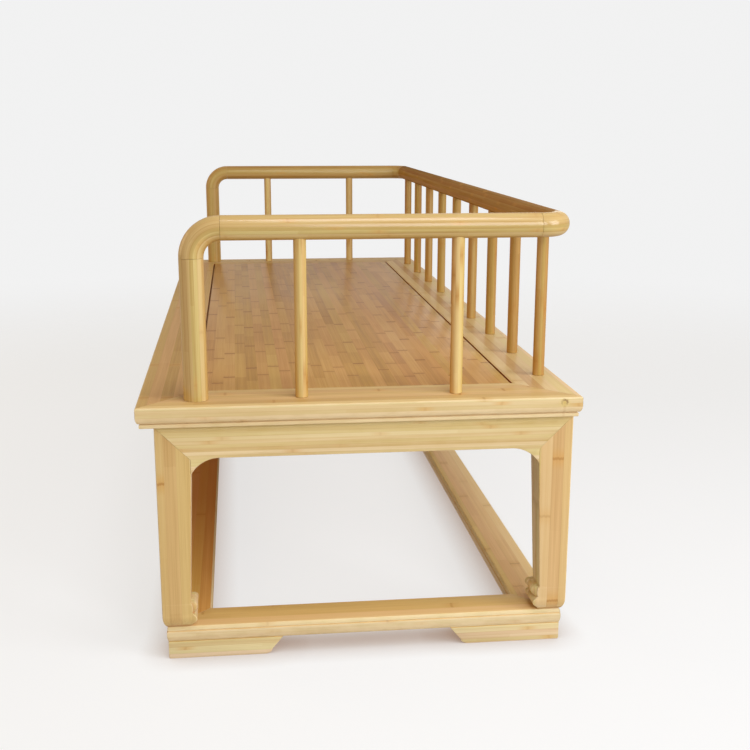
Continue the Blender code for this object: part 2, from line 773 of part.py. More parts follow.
def add_bend(name, finish, start, crown, end, bores):
    # A bent piece with a spigot at each end. The bores for them are added to "bores".
    bend = add_part(name, bend_mesh(name, start, crown, end), finish)
    spigots = bmesh.new()
    for tip in (start, end):
        outward = (Vector(tip) - Vector(crown)).normalized()
        add_spigot(spigots, tip, outward, 0)
        add_spigot(bores, tip, outward, CLEARANCE)
    combine(bend, add_cutter(name + "_spigots", spigots), "UNION")


def make_railing(finish, seat):
    spigot_bores = bmesh.new()
    post_bores = bmesh.new()
    posts = []
    arm_rails = []
    elbow_low = RAIL_AXIS - ELBOW_RADIUS
    elbow_back = POST_Y + ELBOW_RADIUS
    corner_front = BACK_Y - CORNER_RADIUS
    corner_x = ARM_X - CORNER_RADIUS
    for end, sign in ENDS:
        x = sign * ARM_X
        top = elbow_low - CLEARANCE
        profile = stub_profile(RAIL_RADIUS, top, POST_TENON_DIAMETER / 2, POST_TENON_LENGTH)
        posts.append(turned_part("arm_post_" + end, profile, finish, RAIL_SIDES, (x, POST_Y)))
        add_seat_bore(post_bores, (x, POST_Y), POST_TENON_DIAMETER, POST_TENON_LENGTH, RAIL_SIDES)

        low = (x, POST_Y, elbow_low)
        back = (x, elbow_back, RAIL_AXIS)
        add_bend("arm_elbow_" + end, finish, low, (x, POST_Y, RAIL_AXIS), back, spigot_bores)

        name = "arm_rail_" + end
        front = (x, elbow_back + CLEARANCE, RAIL_AXIS)
        mesh = rod_mesh(name, front, (x, corner_front - CLEARANCE, RAIL_AXIS))
        arm_rails.append(add_part(name, mesh, finish))

        front = (x, corner_front, RAIL_AXIS)
        side = (sign * corner_x, BACK_Y, RAIL_AXIS)
        add_bend("rail_corner_" + end, finish, front, (x, BACK_Y, RAIL_AXIS), side, spigot_bores)

    half = corner_x - CLEARANCE
    mesh = rod_mesh("back_rail", (-half, BACK_Y, RAIL_AXIS), (half, BACK_Y, RAIL_AXIS))
    back_rail = add_part("back_rail", mesh, finish)

    cutter = add_cutter("spigot_bores", spigot_bores)
    for piece in (*posts, *arm_rails, back_rail):
        combine(piece, cutter)
    cutter = add_cutter("post_bores", post_bores)
    for end, sign in ENDS:
        combine(seat[end], cutter)

    middle = (POST_Y + BACK_Y) / 2
    arm_spots = []
    for end, sign in ENDS:
        for place, side in (("front", -1), ("back", 1)):
            spot = (sign * ARM_X, middle + side * ARM_SPINDLE_SPACING / 2)
            arm_spots.append(("arm_spindle_" + end + "_" + place, spot))
    make_spindles(finish, arm_spots, (seat["left"], seat["right"]), arm_rails, "arm")

    first = -LENGTH / 2 + BACK_SPINDLE_END_INSET
    pitch = (LENGTH - 2 * BACK_SPINDLE_END_INSET) / (BACK_SPINDLE_COUNT - 1)
    back_spots = []
    for index in range(BACK_SPINDLE_COUNT):
        back_spots.append(("back_spindle_" + str(index + 1), (first + index * pitch, BACK_Y)))
    make_spindles(finish, back_spots, (seat["back"],), (back_rail,), "back")


clear_scene()
PARTS = make_collection("bamboo_bench")
CUTTERS = make_collection("bamboo_bench_cutters")
STAND = bpy.data.objects.new("bench", None)
PARTS.objects.link(STAND)

SEAT_FINISH = make_material("bamboo_seat", (0.47, 0.29, 0.12), 0.32)
FRAME_FINISH = make_material("bamboo_frame", (0.60, 0.43, 0.20), 0.38)
RAIL_FINISH = make_material("bamboo_rail", (0.62, 0.42, 0.17), 0.34)
PEG_FINISH = make_material("bamboo_peg", (0.52, 0.36, 0.17), 0.60)

seat_rails = frame_of_rails(
    "seat",
    FRAME_FINISH,
    LENGTH / 2,
    -DEPTH / 2,
    DEPTH / 2,
    SEAT_BOTTOM,
    seat_rail_outline,
    (LONG_RAIL_WIDTH, END_RAIL_WIDTH),
)
make_seat_panel(SEAT_FINISH)
make_battens(FRAME_FINISH, seat_rails)
join_corners(
    "seat",
    seat_rails,
    LENGTH / 2,
    (-DEPTH / 2, DEPTH / 2),
    SEAT_BOTTOM + (LEG_TENON_LENGTH + SEAT_THICKNESS) / 2,
    (SEAT_TENON_SET, SEAT_TENON_WIDTH, SEAT_TENON_THICKNESS, SEAT_TENON_STOP, END_RAIL_WIDTH),
)

base_x, base_front = base_corner(1, -1)
base_back = base_corner(1, 1)[1]
base_rails = frame_of_rails(
    "base",
    FRAME_FINISH,
    base_x,
    base_front,
    base_back,
    BASE_BOTTOM,
    base_outline,
    (BASE_RAIL_WIDTH, BASE_RAIL_WIDTH),
)
join_corners(
    "base",
    base_rails,
    base_x,
    (base_front, base_back),
    BASE_BOTTOM + (BASE_RAIL_HEIGHT - FOOT_TENON_LENGTH) / 2,
    (BASE_TENON_SET, BASE_TENON_WIDTH, BASE_TENON_THICKNESS, BASE_TENON_STOP, BASE_RAIL_WIDTH),
)
make_feet(FRAME_FINISH, PEG_FINISH, base_rails)

make_legs(FRAME_FINISH, seat_rails, base_rails)
make_aprons(FRAME_FINISH)
make_railing(RAIL_FINISH, seat_rails)
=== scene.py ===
import math

import bmesh
import bpy
from mathutils import Matrix, Vector


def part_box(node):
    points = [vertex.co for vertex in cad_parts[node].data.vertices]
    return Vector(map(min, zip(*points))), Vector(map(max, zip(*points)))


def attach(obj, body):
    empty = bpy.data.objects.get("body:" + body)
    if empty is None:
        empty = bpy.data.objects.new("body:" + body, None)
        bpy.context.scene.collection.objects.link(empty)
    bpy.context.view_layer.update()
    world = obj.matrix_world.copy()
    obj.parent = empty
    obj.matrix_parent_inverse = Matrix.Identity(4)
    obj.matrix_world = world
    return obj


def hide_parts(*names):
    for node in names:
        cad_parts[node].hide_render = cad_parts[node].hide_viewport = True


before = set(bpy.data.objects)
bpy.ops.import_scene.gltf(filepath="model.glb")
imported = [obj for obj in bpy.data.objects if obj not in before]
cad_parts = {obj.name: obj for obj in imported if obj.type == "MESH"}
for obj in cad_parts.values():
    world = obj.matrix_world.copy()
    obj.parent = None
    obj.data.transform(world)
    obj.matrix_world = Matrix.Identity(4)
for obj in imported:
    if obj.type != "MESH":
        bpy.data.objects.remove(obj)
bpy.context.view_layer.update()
scene = bpy.context.scene
up = Vector((0, 0, 1))
towards = {
    "front": Vector((0, -1, 0)),
    "back": Vector((0, 1, 0)),
    "left": Vector((-1, 0, 0)),
    "right": Vector((1, 0, 0)),
}
hairline = 0.0003  # gap between pieces that touch
smoothAngle = 32.0  # edges that turn by more degrees than this stay sharp
arrisMiddle = 0.3  # half way round an arris, as a share of its width


def clamped(value):
    return min(1.0, max(0.0, value))


# meshes are lofted from closed rings of points, all with the same count
def loftMesh(name, rings):
    built = bmesh.new()
    rows = [[built.verts.new(point) for point in ring] for ring in rings]
    count = len(rows[0])
    for lower, upper in zip(rows, rows[1:]):
        for i in range(count):
            j = (i + 1) % count
            built.faces.new((lower[i], lower[j], upper[j], upper[i]))
    built.faces.new(rows[0])
    built.faces.new(rows[-1])
    bmesh.ops.recalc_face_normals(built, faces=built.faces)
    mesh = bpy.data.meshes.new(name)
    built.to_mesh(mesh)
    built.free()
    return mesh


def arcPoints(centre, radii, start, end, steps):
    points = []
    for step in range(steps + 1):
        angle = math.radians(start + (end - start) * step / steps)
        points.append((centre[0] + radii[0] * math.cos(angle), centre[1] + radii[1] * math.sin(angle)))
    return points


def smoothMesh(mesh):
    mesh.shade_smooth()
    mesh.set_sharp_from_angle(angle=math.radians(smoothAngle))


# grain: where each point lies along, across and through the bamboo strips that a piece is glued from
def layGrain(mesh, along, across, through, start):
    field = mesh.attributes.new("grain", "FLOAT_VECTOR", "POINT")
    for vertex, cell in zip(mesh.vertices, field.data):
        co = vertex.co
        cell.vector = (co.dot(along) + start[0], co.dot(across) + start[1], co.dot(through) + start[2])
    # broad faces of the strips are browner than their edges: partly the strips' own tone, partly painted
    # shade on the tops and on the sides of bars
    smoothMesh(mesh)
    broad = mesh.attributes.new("broad", "FLOAT", "CORNER")
    for normal, cell in zip(mesh.corner_normals, broad.data):
        cell.value = normal.vector.dot(through) ** 2


wearShadeBend = {"gentle": 110.0, "tight": 420.0}  # in radians per metre


# wear and shade: tight outward bends are worn pale, and tight inward ones get painted shade
def markWearAndShade(mesh):
    gentle, tight = wearShadeBend["gentle"], wearShadeBend["tight"]
    built = bmesh.new()
    built.from_mesh(mesh)
    bends = {}
    for face in built.faces:
        longest = max(edge.calc_length() for edge in face.edges)
        turn = sum(edge.calc_face_angle_signed(0.0) for edge in face.edges) / 2
        bends[face] = turn * longest / face.calc_area()
    values = []
    for vertex in built.verts:
        # the least bend counts, so that wear and painted shade fade out where a wide face begins
        bend = min((bends[face] for face in vertex.link_faces), key=abs)
        values.append(math.copysign(clamped((abs(bend) - gentle) / (tight - gentle)), bend))
    built.free()
    wearAndShade = mesh.attributes.new("wearAndShade", "FLOAT", "POINT")
    for cell, value in zip(wearAndShade.data, values):
        cell.value = value


startStep = (0.377, 0.0531, 0.0193)  # along, across and through
pieceCount = 0


def nextStart():
    # every piece is cut from another stretch of the same stock
    global pieceCount
    pieceCount += 1
    return tuple(step * pieceCount for step in startStep)


def addPiece(node, mesh, finish):
    piece = bpy.data.objects.new("bench_" + node, mesh)
    scene.collection.objects.link(piece)
    mesh.materials.append(finishes[finish])
    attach(piece, "root")
    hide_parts(node)


# shader helpers
def feed(tree, sockets, values):
    for socket, value in zip(sockets, values):
        if isinstance(value, (int, float)):
            socket.default_value = value
        elif isinstance(value, tuple):
            socket.default_value = (*value, 1.0)
        else:
            tree.links.new(value, socket)


def addNode(tree, kind, *values):
    node = tree.nodes.new("ShaderNode" + kind)
    feed(tree, node.inputs, values)
    return node.outputs


def calc(tree, operation, *values):
    node = tree.nodes.new("ShaderNodeMath")
    node.operation = operation
    feed(tree, node.inputs, values)
    return node.outputs[0]


def centred(tree, value):
    return calc(tree, "SUBTRACT", value, 0.5)


def fade(tree, value, low, high, first=0.0, last=1.0):
    node = tree.nodes.new("ShaderNodeMapRange")
    node.interpolation_type = "SMOOTHSTEP"
    feed(tree, node.inputs, (value, low, high, first, last))
    return node.outputs["Result"]


def streaks(tree, vector, scale, detail):
    mapping = tree.nodes.new("ShaderNodeMapping")
    mapping.inputs["Scale"].default_value = scale
    tree.links.new(vector, mapping.inputs["Vector"])
    noise = tree.nodes.new("ShaderNodeTexNoise")
    noise.inputs["Scale"].default_value = 1.0
    noise.inputs["Detail"].default_value = detail
    tree.links.new(mapping.outputs["Vector"], noise.inputs["Vector"])
    return noise.outputs["Fac"]


def chance(tree, *values):
    gather = addNode(tree, "CombineXYZ", *values)
    return addNode(tree, "TexWhiteNoise", gather[0])["Value"]


def mixColour(tree, factor, first, second, blend="MIX"):
    node = tree.nodes.new("ShaderNodeMix")
    node.data_type = "RGBA"
    node.blend_type = blend
    sockets = (node.inputs[0], node.inputs[6], node.inputs[7])  # those for colours
    feed(tree, sockets, (factor, first, second))
    return node.outputs[2]


def toneRamp(tree, tone, colours):
    ramp = tree.nodes.new("ShaderNodeValToRGB")
    deep, middle, pale = colours
    ramp.color_ramp.elements[0].color = (*deep, 1.0)
    ramp.color_ramp.elements[1].color = (*pale, 1.0)
    ramp.color_ramp.elements.new(0.5).color = (*middle, 1.0)
    tree.links.new(tone, ramp.inputs["Fac"])
    return ramp.outputs["Color"]


def readField(tree, name):
    field = tree.nodes.new("ShaderNodeAttribute")
    field.attribute_name = name
    return field.outputs


def grainField(tree, recipe):
    if "runs" not in recipe:
        return readField(tree, "grain")["Vector"]
    # solids kept from the frame have no grain field, so their own axes are used
    axes = addNode(tree, "SeparateXYZ", addNode(tree, "TexCoord")["Object"])
    return addNode(tree, "CombineXYZ", *(axes[axis] for axis in recipe["runs"]))[0]


def budScar(tree, grain, along, through, scar, colour):
    # an olive heart between two dark arcs, and a node line below it
    wobble = calc(tree, "MULTIPLY", centred(tree, streaks(tree, grain, *scar["noise"])), scar["wobble"])
    dx = calc(tree, "DIVIDE", calc(tree, "SUBTRACT", along, scar["along"]), scar["length"])
    dz = calc(tree, "DIVIDE", calc(tree, "SUBTRACT", through, scar["through"]), scar["height"])
    squares = calc(tree, "ADD", calc(tree, "MULTIPLY", dx, dx), calc(tree, "MULTIPLY", dz, dz))
    reach = calc(tree, "ADD", calc(tree, "SQRT", squares), wobble)
    rimEnd = fade(tree, reach, *scar["rimEnd"], 1.0, 0.0)
    arcs = calc(tree, "MULTIPLY", fade(tree, reach, *scar["rimStart"]), rimEnd)
    leaning = calc(tree, "MULTIPLY_ADD", dx, scar["rimLean"], dz)
    upperRight = fade(tree, leaning, *scar["upperRight"], scar["rimLeast"], 1.0)
    left = fade(tree, dx, *scar["left"], scar["leftStrength"], 0.0)
    arcs = calc(tree, "MULTIPLY", arcs, calc(tree, "MAXIMUM", upperRight, left))
    halo = fade(tree, reach, *scar["haloReach"], scar["haloStrength"], 0.0)
    heart = fade(tree, reach, *scar["heartReach"], scar["heartStrength"], 0.0)
    tail = fade(tree, calc(tree, "ABSOLUTE", dx), *scar["tailReach"], scar["tailStrength"], 0.0)
    tail = calc(tree, "MULTIPLY", tail, fade(tree, dz, *scar["tailDrop"], 1.0, 0.0))
    colour = mixColour(tree, halo, colour, scar["halo"])
    colour = mixColour(tree, tail, colour, scar["tail"])
    colour = mixColour(tree, heart, colour, scar["heart"])
    return mixColour(tree, calc(tree, "MULTIPLY", arcs, scar["strength"]), colour, scar["rim"])


# the same in every finish; a noise has its scales along, across and through, then its detail
figure = {
    "swayNoise": ((3.0, 9.0, 9.0), 1.0),
    "raggedNoise": ((12.0, 260.0, 260.0), 1.0),
    "fineNoise": ((7.0, 900.0, 900.0), 3.0),
    "coarseNoise": ((2.2, 130.0, 130.0), 2.0),
    "driftNoise": ((1.7, 5.0, 5.0), 2.0),
    "patchNoise": ((28.0, 60.0, 60.0), 2.0),
    "toneSeed": 0.37,
    "phaseSeed": 4.81,
    "markSeed": 9.23,
    "leanSeed": 2.19,
    "keptSeed": 0.5,
    "phaseSpread": 17.0,  # strips are shifted by up to this many internodes
    "nodeCore": 0.25,  # share of a node's width that has its full depth
    "keptEdge": 0.02,
    "nodeLeast": 0.4,  # depth of the faintest nodes
    "nodeOnEdge": 0.35,  # depth that is left on the edge of a strip
    "patchRange": (0.30, 0.62),
    "patchLeast": 0.45,  # wear that is left between patches
    "bandRoughness": 0.16,
    "nodeRoughness": 0.12,
    "wornRoughness": 0.08,
    "fineRelief": 0.35,
    "coarseRelief": 0.3,
    "seamRelief": -0.8,
    "nodeRelief": -0.5,
    "ior": 1.48,
}


def bambooFinish(name, recipe):
    made = bpy.data.materials.new(name)
    made.use_nodes = True
    tree = made.node_tree
    shader = tree.nodes["Principled BSDF"]
    f = figure
    grain = grainField(tree, recipe)
    along, across, through = addNode(tree, "SeparateXYZ", grain)

    # strips: each cell across and through the stock is one strip of bamboo
    sway = centred(tree, streaks(tree, grain, *f["swayNoise"]))
    across = calc(tree, "ADD", across, calc(tree, "MULTIPLY", sway, recipe["sway"]))
    stripPlace = calc(tree, "DIVIDE", across, recipe["stripWidth"])
    layerPlace = calc(tree, "DIVIDE", through, recipe["stripThickness"])
    strip = calc(tree, "FLOOR", stripPlace)
    layer = calc(tree, "FLOOR", layerPlace)
    toneDice = chance(tree, strip, layer, f["toneSeed"])
    phaseDice = chance(tree, strip, layer, f["phaseSeed"])
    markDice = chance(tree, strip, layer, f["markSeed"])

    # nodes: each strip has one every internode, at a place of its own
    ragged = centred(tree, streaks(tree, grain, *f["raggedNoise"]))
    bent = calc(tree, "ADD", along, calc(tree, "MULTIPLY", ragged, recipe["nodeRagged"]))
    internode = calc(tree, "DIVIDE", bent, recipe["nodeSpacing"])
    internode = calc(tree, "ADD", internode, calc(tree, "MULTIPLY", phaseDice, f["phaseSpread"]))
    joint = calc(tree, "FLOOR", internode)
    inside = centred(tree, calc(tree, "SUBTRACT", internode, joint))
    nodeReach = calc(tree, "MULTIPLY", calc(tree, "ABSOLUTE", inside), recipe["nodeSpacing"])
    jointDice = chance(tree, strip, layer, joint)
    nodeLine = fade(tree, nodeReach, recipe["nodeWidth"] * f["nodeCore"], recipe["nodeWidth"], 1.0, 0.0)
    nodeGlow = fade(tree, nodeReach, 0.0, recipe["nodeGlow"], 1.0, 0.0)
    keptDice = chance(tree, layer, strip, calc(tree, "ADD", joint, f["keptSeed"]))
    kept = fade(tree, keptDice, recipe["nodeShare"] - f["keptEdge"], recipe["nodeShare"], 1.0, 0.0)
    depth = calc(tree, "MULTIPLY_ADD", markDice, 1.0 - f["nodeLeast"], f["nodeLeast"])
    depth = calc(tree, "MULTIPLY", depth, kept)
    broad = readField(tree, "broad")["Fac"]
    onEdge = calc(tree, "MULTIPLY_ADD", broad, 1.0 - f["nodeOnEdge"], f["nodeOnEdge"])
    nodeLine = calc(tree, "MULTIPLY", nodeLine, onEdge)
    nodeLine = calc(tree, "MULTIPLY", nodeLine, calc(tree, "MULTIPLY", depth, recipe["nodeStrength"]))
    nodeGlow = calc(tree, "MULTIPLY", nodeGlow, calc(tree, "MULTIPLY", depth, recipe["nodeGlowStrength"]))

    # tone: strip by strip, then joints, fibres, bands and slow drifts of colour
    fine = streaks(tree, grain, *f["fineNoise"])
    coarse = streaks(tree, grain, *f["coarseNoise"])
    drift = streaks(tree, grain, *f["driftNoise"])
    tone = 0.5  # the middle of the ramp
    for source, contrast in (
        (toneDice, "stripContrast"),
        (jointDice, "jointContrast"),
        (fine, "fibreContrast"),
        (coarse, "bandContrast"),
        (drift, "driftContrast"),
    ):
        tone = calc(tree, "MULTIPLY_ADD", centred(tree, source), recipe[contrast], tone)
    onBroad = toneRamp(tree, tone, recipe["broad"])
    colour = mixColour(tree, broad, toneRamp(tree, tone, recipe["edge"]), onBroad)
    leanDice = chance(tree, layer, strip, f["leanSeed"])
    leaning = mixColour(tree, leanDice, recipe["greenish"], recipe["pinkish"])
    colour = mixColour(tree, 1.0, colour, leaning, "MULTIPLY")
    colour = mixColour(tree, nodeGlow, colour, recipe["glow"])
    colour = mixColour(tree, nodeLine, colour, recipe["node"])

    # glue lines between strips
    seams = []
    for place, cell, size in ((stripPlace, strip, "stripWidth"), (layerPlace, layer, "stripThickness")):
        reach = calc(tree, "ABSOLUTE", centred(tree, calc(tree, "SUBTRACT", place, cell)))
        seams.append(fade(tree, reach, 0.5 - recipe["glueLine"] / recipe[size], 0.5))
    seam = calc(tree, "MULTIPLY", calc(tree, "MAXIMUM", *seams), recipe["glueStrength"])
    colour = mixColour(tree, seam, colour, recipe["glue"])
    if "scar" in recipe:
        colour = budScar(tree, grain, along, through, recipe["scar"], colour)

    # worn arrises, then painted shade in tight hollows and on faces that lie in shade
    wearAndShade = readField(tree, "wearAndShade")["Fac"]
    patches = fade(tree, streaks(tree, grain, *f["patchNoise"]), *f["patchRange"], f["patchLeast"], 1.0)
    worn = calc(tree, "MULTIPLY", calc(tree, "MAXIMUM", wearAndShade, 0.0), patches)
    creaseShade = calc(tree, "MAXIMUM", calc(tree, "MULTIPLY", wearAndShade, -1.0), 0.0)
    colour = mixColour(tree, calc(tree, "MULTIPLY", worn, recipe["wearStrength"]), colour, recipe["worn"])
    colour = mixColour(tree, calc(tree, "MULTIPLY", creaseShade, recipe["creaseShadeStrength"]), colour, recipe["paintedShade"])
    colour = mixColour(tree, readField(tree, "paintedShade")["Fac"], colour, recipe["paintedShade"])
    tree.links.new(colour, shader.inputs["Base Color"])

    # surface
    rough = calc(tree, "MULTIPLY_ADD", centred(tree, coarse), f["bandRoughness"], recipe["roughness"])
    rough = calc(tree, "MULTIPLY_ADD", nodeLine, f["nodeRoughness"], rough)
    rough = calc(tree, "MULTIPLY_ADD", worn, f["wornRoughness"], rough)
    tree.links.new(rough, shader.inputs["Roughness"])
    relief = calc(tree, "MULTIPLY", coarse, f["coarseRelief"])
    relief = calc(tree, "MULTIPLY_ADD", fine, f["fineRelief"], relief)
    relief = calc(tree, "MULTIPLY_ADD", seam, f["seamRelief"], relief)
    relief = calc(tree, "MULTIPLY_ADD", nodeLine, f["nodeRelief"], relief)
    bump = tree.nodes.new("ShaderNodeBump")
    bump.inputs["Strength"].default_value = recipe["reliefStrength"]
    bump.inputs["Distance"].default_value = recipe["reliefDepth"]
    tree.links.new(relief, bump.inputs["Height"])
    tree.links.new(bump.outputs["Normal"], shader.inputs["Normal"])
    shader.inputs["IOR"].default_value = f["ior"]
    shader.inputs["Specular IOR Level"].default_value = recipe["specular"]
    shader.inputs["Coat Weight"].default_value = recipe["lacquer"]
    shader.inputs["Coat Roughness"].default_value = recipe["lacquerRoughness"]
    shader.inputs["Coat IOR"].default_value = recipe["lacquerIor"]
    return made


# edge and broad are the deep, middle and pale tones on the edges and on the broad faces of the strips
stock = {
    "stripWidth": 0.0205,
    "stripThickness": 0.0063,
    "sway": 0.0016,
    "nodeSpacing": 0.265,
    "nodeRagged": 0.005,
    "nodeWidth": 0.0036,
    "nodeGlow": 0.024,
    "nodeShare": 0.45,  # share of the nodes that show
    "nodeStrength": 0.55,
    "nodeGlowStrength": 0.55,
    "stripContrast": 0.62,
    "jointContrast": 0.16,
    "fibreContrast": 0.75,
    "bandContrast": 0.75,
    "driftContrast": 0.55,
    "glueLine": 0.0005,
    "glueStrength": 0.24,
    "edge": ((0.55, 0.380, 0.140), (0.67, 0.530, 0.260), (0.76, 0.650, 0.380)),
    "broad": ((0.49, 0.270, 0.085), (0.63, 0.400, 0.160), (0.73, 0.515, 0.245)),
    "greenish": (0.97, 1.02, 0.90),
    "pinkish": (1.03, 0.98, 1.08),
    "glow": (0.60, 0.330, 0.090),
    "node": (0.36, 0.160, 0.040),
    "glue": (0.36, 0.190, 0.060),
    # the colour of painted shade
    "paintedShade": (0.46, 0.160, 0.045),
    "worn": (0.86, 0.710, 0.480),
    "wearStrength": 0.42,
    "creaseShadeStrength": 0.55,
    "roughness": 0.50,
    "reliefStrength": 0.22,
    "reliefDepth": 0.0004,
    "specular": 0.04,
    "lacquer": 0.06,
    "lacquerRoughness": 0.20,
    "lacquerIor": 2.0,
}
seatStock = {
    **stock,
    "nodeSpacing": 0.215,
    "nodeShare": 0.85,
    "nodeStrength": 0.85,
    "nodeGlowStrength": 0.40,
    "nodeWidth": 0.0050,
    "stripContrast": 0.32,
    "jointContrast": 0.38,
    "driftContrast": 0.95,
    "glueStrength": 0.16,
    "broad": ((0.38, 0.182, 0.043), (0.52, 0.276, 0.072), (0.62, 0.366, 0.112)),
    "glow": (0.43, 0.210, 0.060),
    "node": (0.22, 0.078, 0.022),
    "glue": (0.26, 0.125, 0.040),
    "lacquer": 0.18,
    "lacquerRoughness": 0.25,
    "lacquerIor": 1.6,
}
seatRailStock = {
    **stock,
    "edge": ((0.52, 0.370, 0.140), (0.64, 0.515, 0.260), (0.73, 0.635, 0.380)),
    "broad": ((0.53, 0.325, 0.118), (0.68, 0.480, 0.205), (0.76, 0.570, 0.285)),
    "lacquer": 0.04,
}
# a darker copy of the seat rail stock for the front rail: painted shade on the front side
seatFrontShadedStock = {
    **seatRailStock,
    "broad": ((0.44, 0.235, 0.070), (0.56, 0.345, 0.120), (0.65, 0.430, 0.180)),
}
legStock = {
    **stock,
    "stripContrast": 0.42,
    "broad": ((0.50, 0.315, 0.118), (0.630, 0.445, 0.200), (0.69, 0.525, 0.270)),
}
# the broad faces, mostly the tops of the base, are painted lighter: painted light
baseStock = {
    **stock,
    "broad": ((0.63, 0.390, 0.135), (0.79, 0.545, 0.220), (0.84, 0.620, 0.300)),
    "edge": ((0.55, 0.390, 0.190), (0.67, 0.540, 0.320), (0.75, 0.640, 0.420)),
    "lacquer": 0.05,
    "lacquerRoughness": 0.16,
}
# a darker copy of the base stock for the front rail: painted shade, as that rail lies in shade
baseFrontShadedStock = {
    **baseStock,
    "broad": ((0.53, 0.260, 0.062), (0.66, 0.368, 0.100), (0.74, 0.450, 0.150)),
    "specular": 0.0,
    "lacquer": 0.02,
}
railStock = {
    **stock,
    "nodeStrength": 0.40,
    "stripContrast": 0.80,
    "edge": ((0.44, 0.270, 0.085), (0.57, 0.425, 0.175), (0.66, 0.540, 0.285)),
    "broad": ((0.40, 0.205, 0.052), (0.53, 0.330, 0.100), (0.65, 0.465, 0.195)),
    "roughness": 0.46,
    "specular": 0.03,
    "lacquer": 0.21,
    "lacquerRoughness": 0.15,
    "lacquerIor": 2.3,
}
# a darker copy of the rail stock for the far arm: painted shade
farRailShadedStock = {
    **railStock,
    "edge": ((0.40, 0.230, 0.065), (0.51, 0.355, 0.125), (0.60, 0.465, 0.210)),
    "lacquer": 0.10,
}
# the darker back rail: partly its own darker tone, partly painted shade
backRailToneAndShadeStock = {
    **railStock,
    "edge": ((0.29, 0.125, 0.030), (0.38, 0.200, 0.056), (0.48, 0.300, 0.115)),
    "broad": ((0.29, 0.125, 0.030), (0.38, 0.200, 0.056), (0.48, 0.300, 0.115)),
    "specular": 0.0,
    "lacquer": 0.03,
}
spindleStock = {
    **railStock,
    "stripContrast": 0.26,
    "driftContrast": 0.45,
    "nodeShare": 0.75,
    "nodeGlow": 0.032,
    "nodeGlowStrength": 0.80,
    "glow": (0.48, 0.235, 0.055),
    "lacquer": 0.08,
    "edge": ((0.53, 0.350, 0.122), (0.69, 0.520, 0.230), (0.77, 0.630, 0.340)),
    "broad": ((0.43, 0.210, 0.046), (0.56, 0.335, 0.094), (0.66, 0.445, 0.165)),
}
# deeper back spindles: partly their own tone, partly painted shade
backSpindleToneAndShadeStock = {
    **spindleStock,
    "edge": ((0.37, 0.195, 0.046), (0.49, 0.310, 0.096), (0.60, 0.435, 0.180)),
    "broad": ((0.35, 0.150, 0.028), (0.46, 0.240, 0.054), (0.57, 0.345, 0.110)),
}
scarStock = {
    **seatRailStock,
    "scar": {  # its reaches are in shares of its length and height
        "along": 0.343,
        "through": 0.4490,
        "length": 0.0056,
        "height": 0.0054,
        "noise": ((300.0, 300.0, 300.0), 2.0),
        "wobble": 1.1,
        "rim": (0.17, 0.070, 0.018),
        "strength": 0.80,
        "rimStart": (0.35, 0.70),
        "rimEnd": (0.80, 1.35),
        "rimLean": 0.8,
        "rimLeast": 0.10,
        "upperRight": (-0.7, 0.9),
        "left": (-0.95, -0.45),
        "leftStrength": 0.60,
        "halo": (0.66, 0.520, 0.190),
        "haloReach": (0.6, 2.2),
        "haloStrength": 0.65,
        "heart": (0.52, 0.370, 0.095),
        "heartReach": (0.20, 0.80),
        "heartStrength": 0.75,
        "tail": (0.46, 0.265, 0.080),
        "tailReach": (0.05, 0.75),
        "tailStrength": 0.45,
        "tailDrop": (-1.3, -0.7),
    },
}
recipes = {
    "seat": seatStock,
    "frame": stock,
    "base": baseStock,
    "base_front": baseFrontShadedStock,
    "seat_rail": seatRailStock,
    "seat_front": seatFrontShadedStock,
    "leg": legStock,
    "scarred_frame": scarStock,
    "rail": railStock,
    "far_rail_shaded": farRailShadedStock,
    "back_rail": backRailToneAndShadeStock,
    "spindle": spindleStock,
    "back_spindle": backSpindleToneAndShadeStock,
    "batten": {**stock, "runs": (1, 0, 2)},
    "peg": {**railStock, "runs": (2, 0, 1)},
}
finishes = {name: bambooFinish(name + "_bamboo", recipe) for name, recipe in recipes.items()}
print("bamboo finishes mixed")

shadeTurn = {"from": 0.5, "over": 0.45}  # how squarely a face has to look the shaded way


# faces that look one way get painted shade, such as the walls of the groove beside the panel
def shadeFaces(mesh, *facing, depth=lambda place: 1.0):
    paintedShade = mesh.attributes.new("paintedShade", "FLOAT", "CORNER")
    for polygon in mesh.polygons:
        turned = max(polygon.normal.dot(side) for side in facing)
        share = clamped((turned - shadeTurn["from"]) / shadeTurn["over"])
        for loop in polygon.loop_indices:
            place = mesh.vertices[mesh.loops[loop].vertex_index].co
            paintedShade.data[loop].value = share * depth(place)


# mitred rails of the seat and of the base; shares say where rings are added between the two mitres
def mitredRail(node, outward, profile, slope, start, shares=()):
    low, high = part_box(node)
    run = Vector((abs(outward.y), abs(outward.x), 0))
    outer = max(outward.dot(low), outward.dot(high))
    mitres = []
    for end, sign in ((low, 1), (high, -1)):
        ring = []
        for across, height in profile:
            place = run.dot(end) + sign * across * slope
            ring.append(outward * (outer - across) + run * place + up * (low.z + height))
        mitres.append(ring)
    first, last = mitres
    rings = [[a.lerp(b, share) for a, b in zip(first, last)] for share in shares]
    mesh = loftMesh(node, [first, *rings, last])
    layGrain(mesh, run, outward, up, start)
    markWearAndShade(mesh)
    return mesh


seatEdge = {
    "arris": 0.003,
    "faceDepth": 0.016,  # from the top down to where the edge turns in
    "tierDepth": 0.0275,
    "turnIn": 0.006,
    "quirkDepth": 0.0025,
    "quirkHeight": 0.0018,
    "lipChamfer": 0.0015,
    "grooveDepth": 0.008,
    "tongue": 0.006,
    "panelThickness": 0.018,
    "innerArris": 0.0005,
    "lipArris": 0.0006,
    "arrisSteps": 6,
    "turnSteps": 8,
    "lipSteps": (2, 4),  # above and below
}


